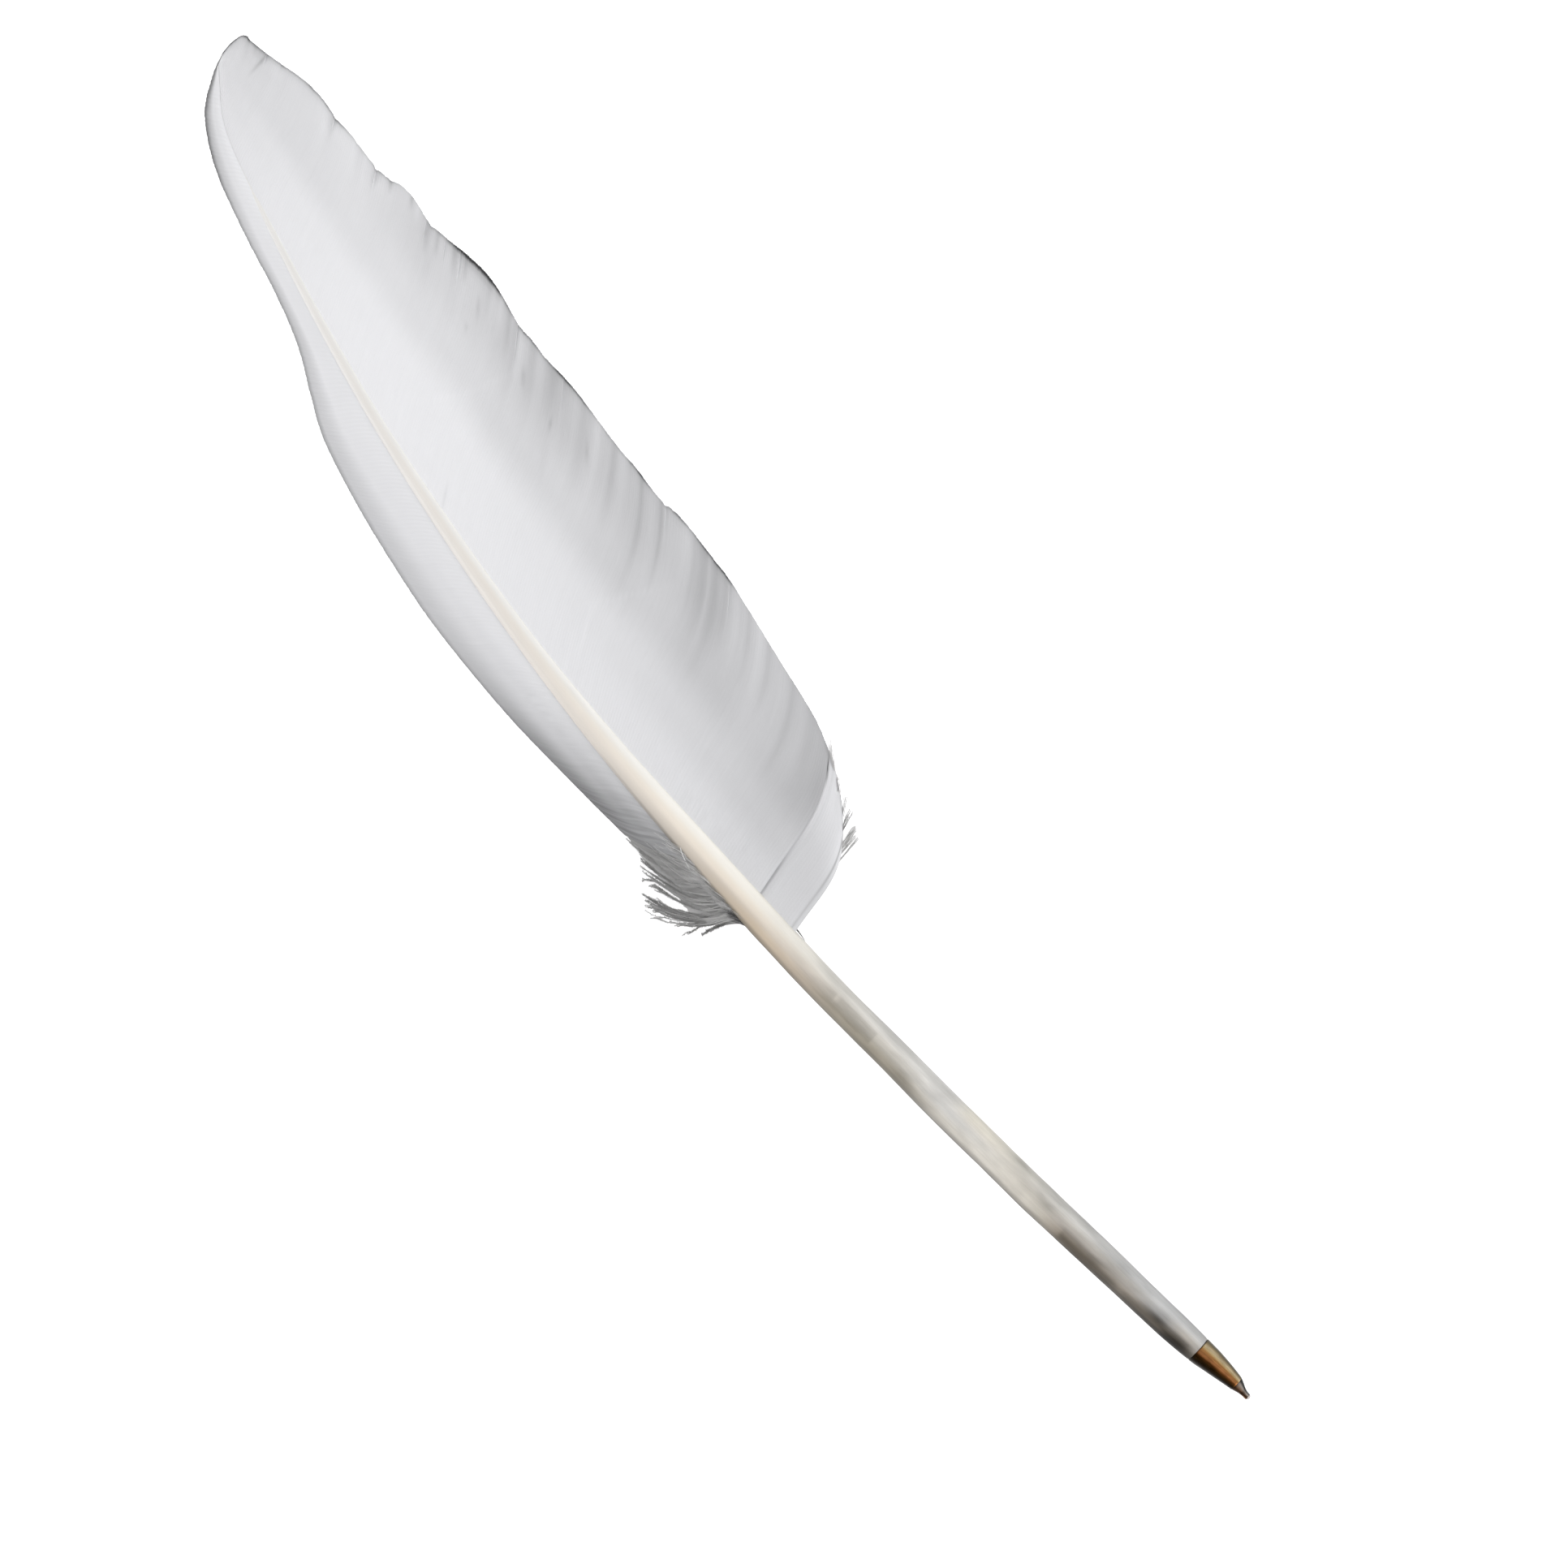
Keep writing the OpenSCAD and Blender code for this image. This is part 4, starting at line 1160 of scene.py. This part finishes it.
# Painted reflections and shade round the metal, as seen from above, dark on the narrow vane's side with
# bright bands: share across, from -1 to 1, and colour
BRASS_PAINTED_LIGHT = [
    [-1, (0.01, 0.007, 0.004)], [-0.7, (0.012, 0.006, 0.002)], [-0.55, (0.078, 0.04, 0.012)],
    [-0.4, (0.14, 0.06, 0.016)], [-0.25, (0.23, 0.08, 0.018)], [-0.1, (0.58, 0.24, 0.09)],
    [0.1, (0.34, 0.155, 0.054)], [0.25, (0.2, 0.1, 0.034)], [0.4, (0.36, 0.26, 0.125)],
    [0.56, (0.5, 0.41, 0.26)], [0.7, (0.25, 0.19, 0.11)], [0.85, (0.08, 0.065, 0.035)],
    [1, (0.06, 0.05, 0.03)],
]
NICKEL_PAINTED_LIGHT = [
    [-1, (0.03, 0.015, 0.01)], [-0.7, (0.045, 0.022, 0.012)], [-0.4, (0.08, 0.042, 0.022)],
    [-0.1, (0.12, 0.08, 0.058)], [0.1, (0.14, 0.11, 0.09)], [0.25, (0.15, 0.13, 0.115)],
    [0.4, (0.13, 0.115, 0.105)], [0.55, (0.06, 0.055, 0.05)], [0.7, (0.018, 0.018, 0.018)],
    [1, (0.015, 0.015, 0.015)],
]
BALL_R = 0.5
# Sideways bend of the point: depth from the tip, and mm
POINT_BEND = [[0, 0], [0.9, 0.02], [2.6, 0.24], [4.5, 0.28], [8, 0.17], [11, 0], [22, 0]]


def axis_rings(profile):
    """Rings round the refill's axis for [depth, radius] points, with the point's slight bend."""
    depth, radius = np.array(profile, float).T
    bent = curve(POINT_BEND, depth)
    up = np.sin(TURNS) * radius[:, None]
    behind_ball = (depth[:, None] - BALL_R) * TILT
    run = BALL_R + behind_ball - up * SLOPE * TILT
    side = BARREL_SIDE + bent[:, None] + np.cos(TURNS) * radius[:, None]
    rise = shaft_rise(BALL_R) + behind_ball * SLOPE + up * TILT
    return np.stack([run, side, rise], -1)


def turned_object(name, profile, tints, level, material):
    """Closed turned piece, its profile going round from the front's inner edge. Its tints are
    painted reflections and shade as seen from above, lifted on its underside. level makes the
    tints lighter or darker by depth and by share across."""
    depth, turn = np.broadcast_arrays(np.array(profile, float)[:, :1], TURNS)
    x, y = np.cos(turn), np.sin(turn)
    at = [t[0] for t in tints]
    shade = level(depth, x)
    brightest = np.max([t[1] for t in tints], axis=0)
    channels = []
    for c in range(3):
        seen = np.interp(x, at, [t[1][c] for t in tints]) * shade
        channels.append(lerp(seen, np.maximum(seen, 0.8 * brightest[c]), underside(turn)))
    tint = np.stack([*channels, np.ones_like(x)], -1)
    flow = np.stack([depth, x * 2, y * 2], -1)
    return mesh_object(
        name, placed(axis_rings(profile)), hollow_faces(len(profile))[:, ::-1].tolist(), material,
        corner=35, tint=tint.reshape(-1, 4), flow=flow.reshape(-1, 3),
    )


def add_refill_piece(obj, node):
    """A piece of the refill that stands for a CAD node."""
    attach(obj, "refill")
    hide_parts(node)
    return obj


def brass_shade(depth, x):
    """Dark seam at the barrel's mouth, and painted shade in a band on the narrow vane's side towards
    it.
    """
    seam = 1 - 0.6 * smooth(depth, 10.82, 10.88)
    return seam * (1 - 0.35 * smooth(depth, 4, 10) * bump(x, -0.4, 0.25))


def make_brass():
    t = np.linspace(0, 1, 60)
    nose, shoulder = 3.0, 10.9
    cone = np.stack([lerp(nose, shoulder, t), 2.2 - (1 - t) ** 1.3], -1).tolist()
    profile = [[nose, 0.76]] + [[nose, 1.12], [nose + 0.03, 1.18]] + cone[1:] + [
        [10.98, 2.12], [10.98, 1.47], [15, 1.47], [15, 0.98], [19.5, 0.98], [19.5, 0.45],
        [6.2, 0.45], [6.2, 0.76],
    ]
    brass = turned_object("brass_point", profile, BRASS_PAINTED_LIGHT, brass_shade, brass_material)
    return add_refill_piece(brass, "point_holder")


def nickel_highlight(depth, x):
    """Painted highlight near the ball, strongest at the point's sides."""
    return 1 + (1 - smooth(depth, 0.7, 1.5)) * lerp(0.7, 4.5, smooth(np.abs(x), 0.45, 0.75))


def make_nickel():
    rim = [[0.35, 0.485], [0.35, 0.5]]
    front = [[0.42, 0.515], [1, 0.54], [1.6, 0.66], [2.25, 0.9], [2.7, 1.07], [2.98, 1.15]]
    fine = np.linspace(0.42, 2.98, 40)
    profile = rim + np.stack([fine, curve(front, fine)], -1).tolist() + [
        [2.98, 0.74], [6.1, 0.74], [6.1, 0.2], [1.04, 0.2], [0.9, 0.42], [0.5, 0.51],
    ]
    nickel = turned_object("nickel_point", profile, NICKEL_PAINTED_LIGHT, nickel_highlight, nickel_material)
    return add_refill_piece(nickel, "nib_point")


make_wide_vane()
make_base_lobe()
make_narrow_vane()
make_down_sheet()
make_down_strands()
make_white_filament()
make_lobe_wisps()
make_shaft()
make_barrel()
make_stub()
make_brass()
make_nickel()

# ---------------------------------------------------------------- CAD nodes that stay

finishes = {
    "writing_ball": plain_material(
        "carbide", rgb(0.48, 0.44, 0.43), rgb(0.34, 0.31, 0.3), 0.3, 3000, Metallic=1.0
    ),
    "ink_tube": plain_material(
        "tube_plastic", rgb(0.52, 0.57, 0.65), rgb(0.47, 0.52, 0.6), 0.4,
        Transmission_Weight=0.45, IOR=1.2,
    ),
    "ink_column": plain_material("ink", rgb(0.01, 0.015, 0.07), rgb(0.015, 0.02, 0.1), 0.15),
    "mouth_bush": plain_material("bush", rgb(0.8, 0.79, 0.76), rgb(0.7, 0.69, 0.66), 0.5),
    "pulp_caps": plain_material("pulp", rgb(0.66, 0.58, 0.44), rgb(0.5, 0.42, 0.3), 0.75),
    "rachis_pith": plain_material("pith", rgb(0.86, 0.84, 0.78), rgb(0.78, 0.75, 0.68), 0.9),
}
for node_name, finish in finishes.items():
    kept = frame["nodes"][node_name]
    kept.data.materials.clear()
    kept.data.materials.append(finish)

# ---------------------------------------------------------------- floor, light and camera


# The refill slides down the barrel's slope, so the floor leaves it room at the joint's limit
FLOOR_DROP = 4.2
FLOOR_HALF = 8.0  # metres


def make_floor():
    made, tree, shader = surface("floor_paper", 0.9, Specular_IOR_Level=0.1, Emission_Strength=0.8)
    shader.inputs["Emission Color"].default_value = rgb(1, 1, 1)
    where = tree.nodes.new("ShaderNodeTexCoord").outputs["Object"]
    tint = mixed(tree, noise(tree, where, 40, 2), rgb(0.52, 0.52, 0.523), rgb(0.53, 0.53, 0.53))
    tree.links.new(tint, shader.inputs["Base Color"])
    signs = np.array([[-1, -1], [1, -1], [1, 1], [-1, 1]])
    corners = np.column_stack([signs * FLOOR_HALF, np.full(4, -FLOOR_DROP * MM)])
    mesh_object("floor", corners, [[0, 1, 2, 3]], made)


def make_sun(name, towards, strength, angle):
    """Soft sun that shines from a direction."""
    data = bpy.data.lights.new(name, "SUN")
    data.energy, data.angle = strength, math.radians(angle)
    lamp = bpy.data.objects.new(name, data)
    x, y, z = towards
    lamp.rotation_euler = (math.atan2(math.hypot(x, y), z), 0, math.atan2(y, x) + math.pi / 2)
    bpy.context.scene.collection.objects.link(lamp)


def make_world():
    """Pale studio: wide panels past both ends of the pen, a band beside the wide vane, and a
    dark wall low on the narrow vane's side, which gives metal and horn their edge."""
    world = bpy.data.worlds.new("studio")
    bpy.context.scene.world = world
    world.use_nodes = True
    tree = world.node_tree
    tree.nodes.clear()
    where = tree.nodes.new("ShaderNodeTexCoord").outputs["Generated"]
    axes = tree.nodes.new("ShaderNodeSeparateXYZ")
    tree.links.new(where, axes.inputs[0])
    across = tree.nodes.new("ShaderNodeValToRGB")
    tree.links.new(ranged(tree, axes.outputs["Y"], -1, 1, 0, 1), across.inputs["Fac"])
    ramp = across.color_ramp
    levels = [(0, 0.12), (0.2, 0.12), (0.36, 0.36), (0.55, 0.45), (0.72, 0.62), (0.86, 0.95), (1, 0.6)]
    for place_at, level in levels:
        stop = ramp.elements.new(place_at)
        stop.color = rgb(level, level, level)
    ramp.elements.remove(ramp.elements[0])
    ramp.elements.remove(ramp.elements[-1])
    away = maths(tree, "ABSOLUTE", axes.outputs["X"], 0.0)
    ends = ranged(tree, away, 0.5, 0.72, 0, 1.7)
    bright = maths(tree, "ADD", across.outputs["Color"], ends)
    seen = tree.nodes.new("ShaderNodeLightPath").outputs["Is Camera Ray"]
    shade = mixed(tree, seen, bright, rgb(0.9, 0.9, 0.9))
    back = add(tree, "ShaderNodeBackground", Strength=1.0)
    tree.links.new(shade, back.inputs["Color"])
    out = tree.nodes.new("ShaderNodeOutputWorld")
    tree.links.new(back.outputs[0], out.inputs[0])


def make_camera():
    """Straight above the pen, turned so that it lies from upper left to lower right."""
    data = bpy.data.cameras.new("camera")
    view_mm = 241.5
    data.lens, data.sensor_width = 600, 36
    camera = bpy.data.objects.new("camera", data)
    camera.location = (0.0116, 0.001, view_mm * MM * data.lens / data.sensor_width)
    camera.rotation_euler = (0, 0, math.radians(43.78))
    bpy.context.scene.collection.objects.link(camera)
    bpy.context.scene.camera = camera


make_floor()
make_sun("key", (0.2, 0.6, 1.0), 0.3, 30)
make_world()
make_camera()
bpy.context.scene.view_settings.view_transform = "Standard"
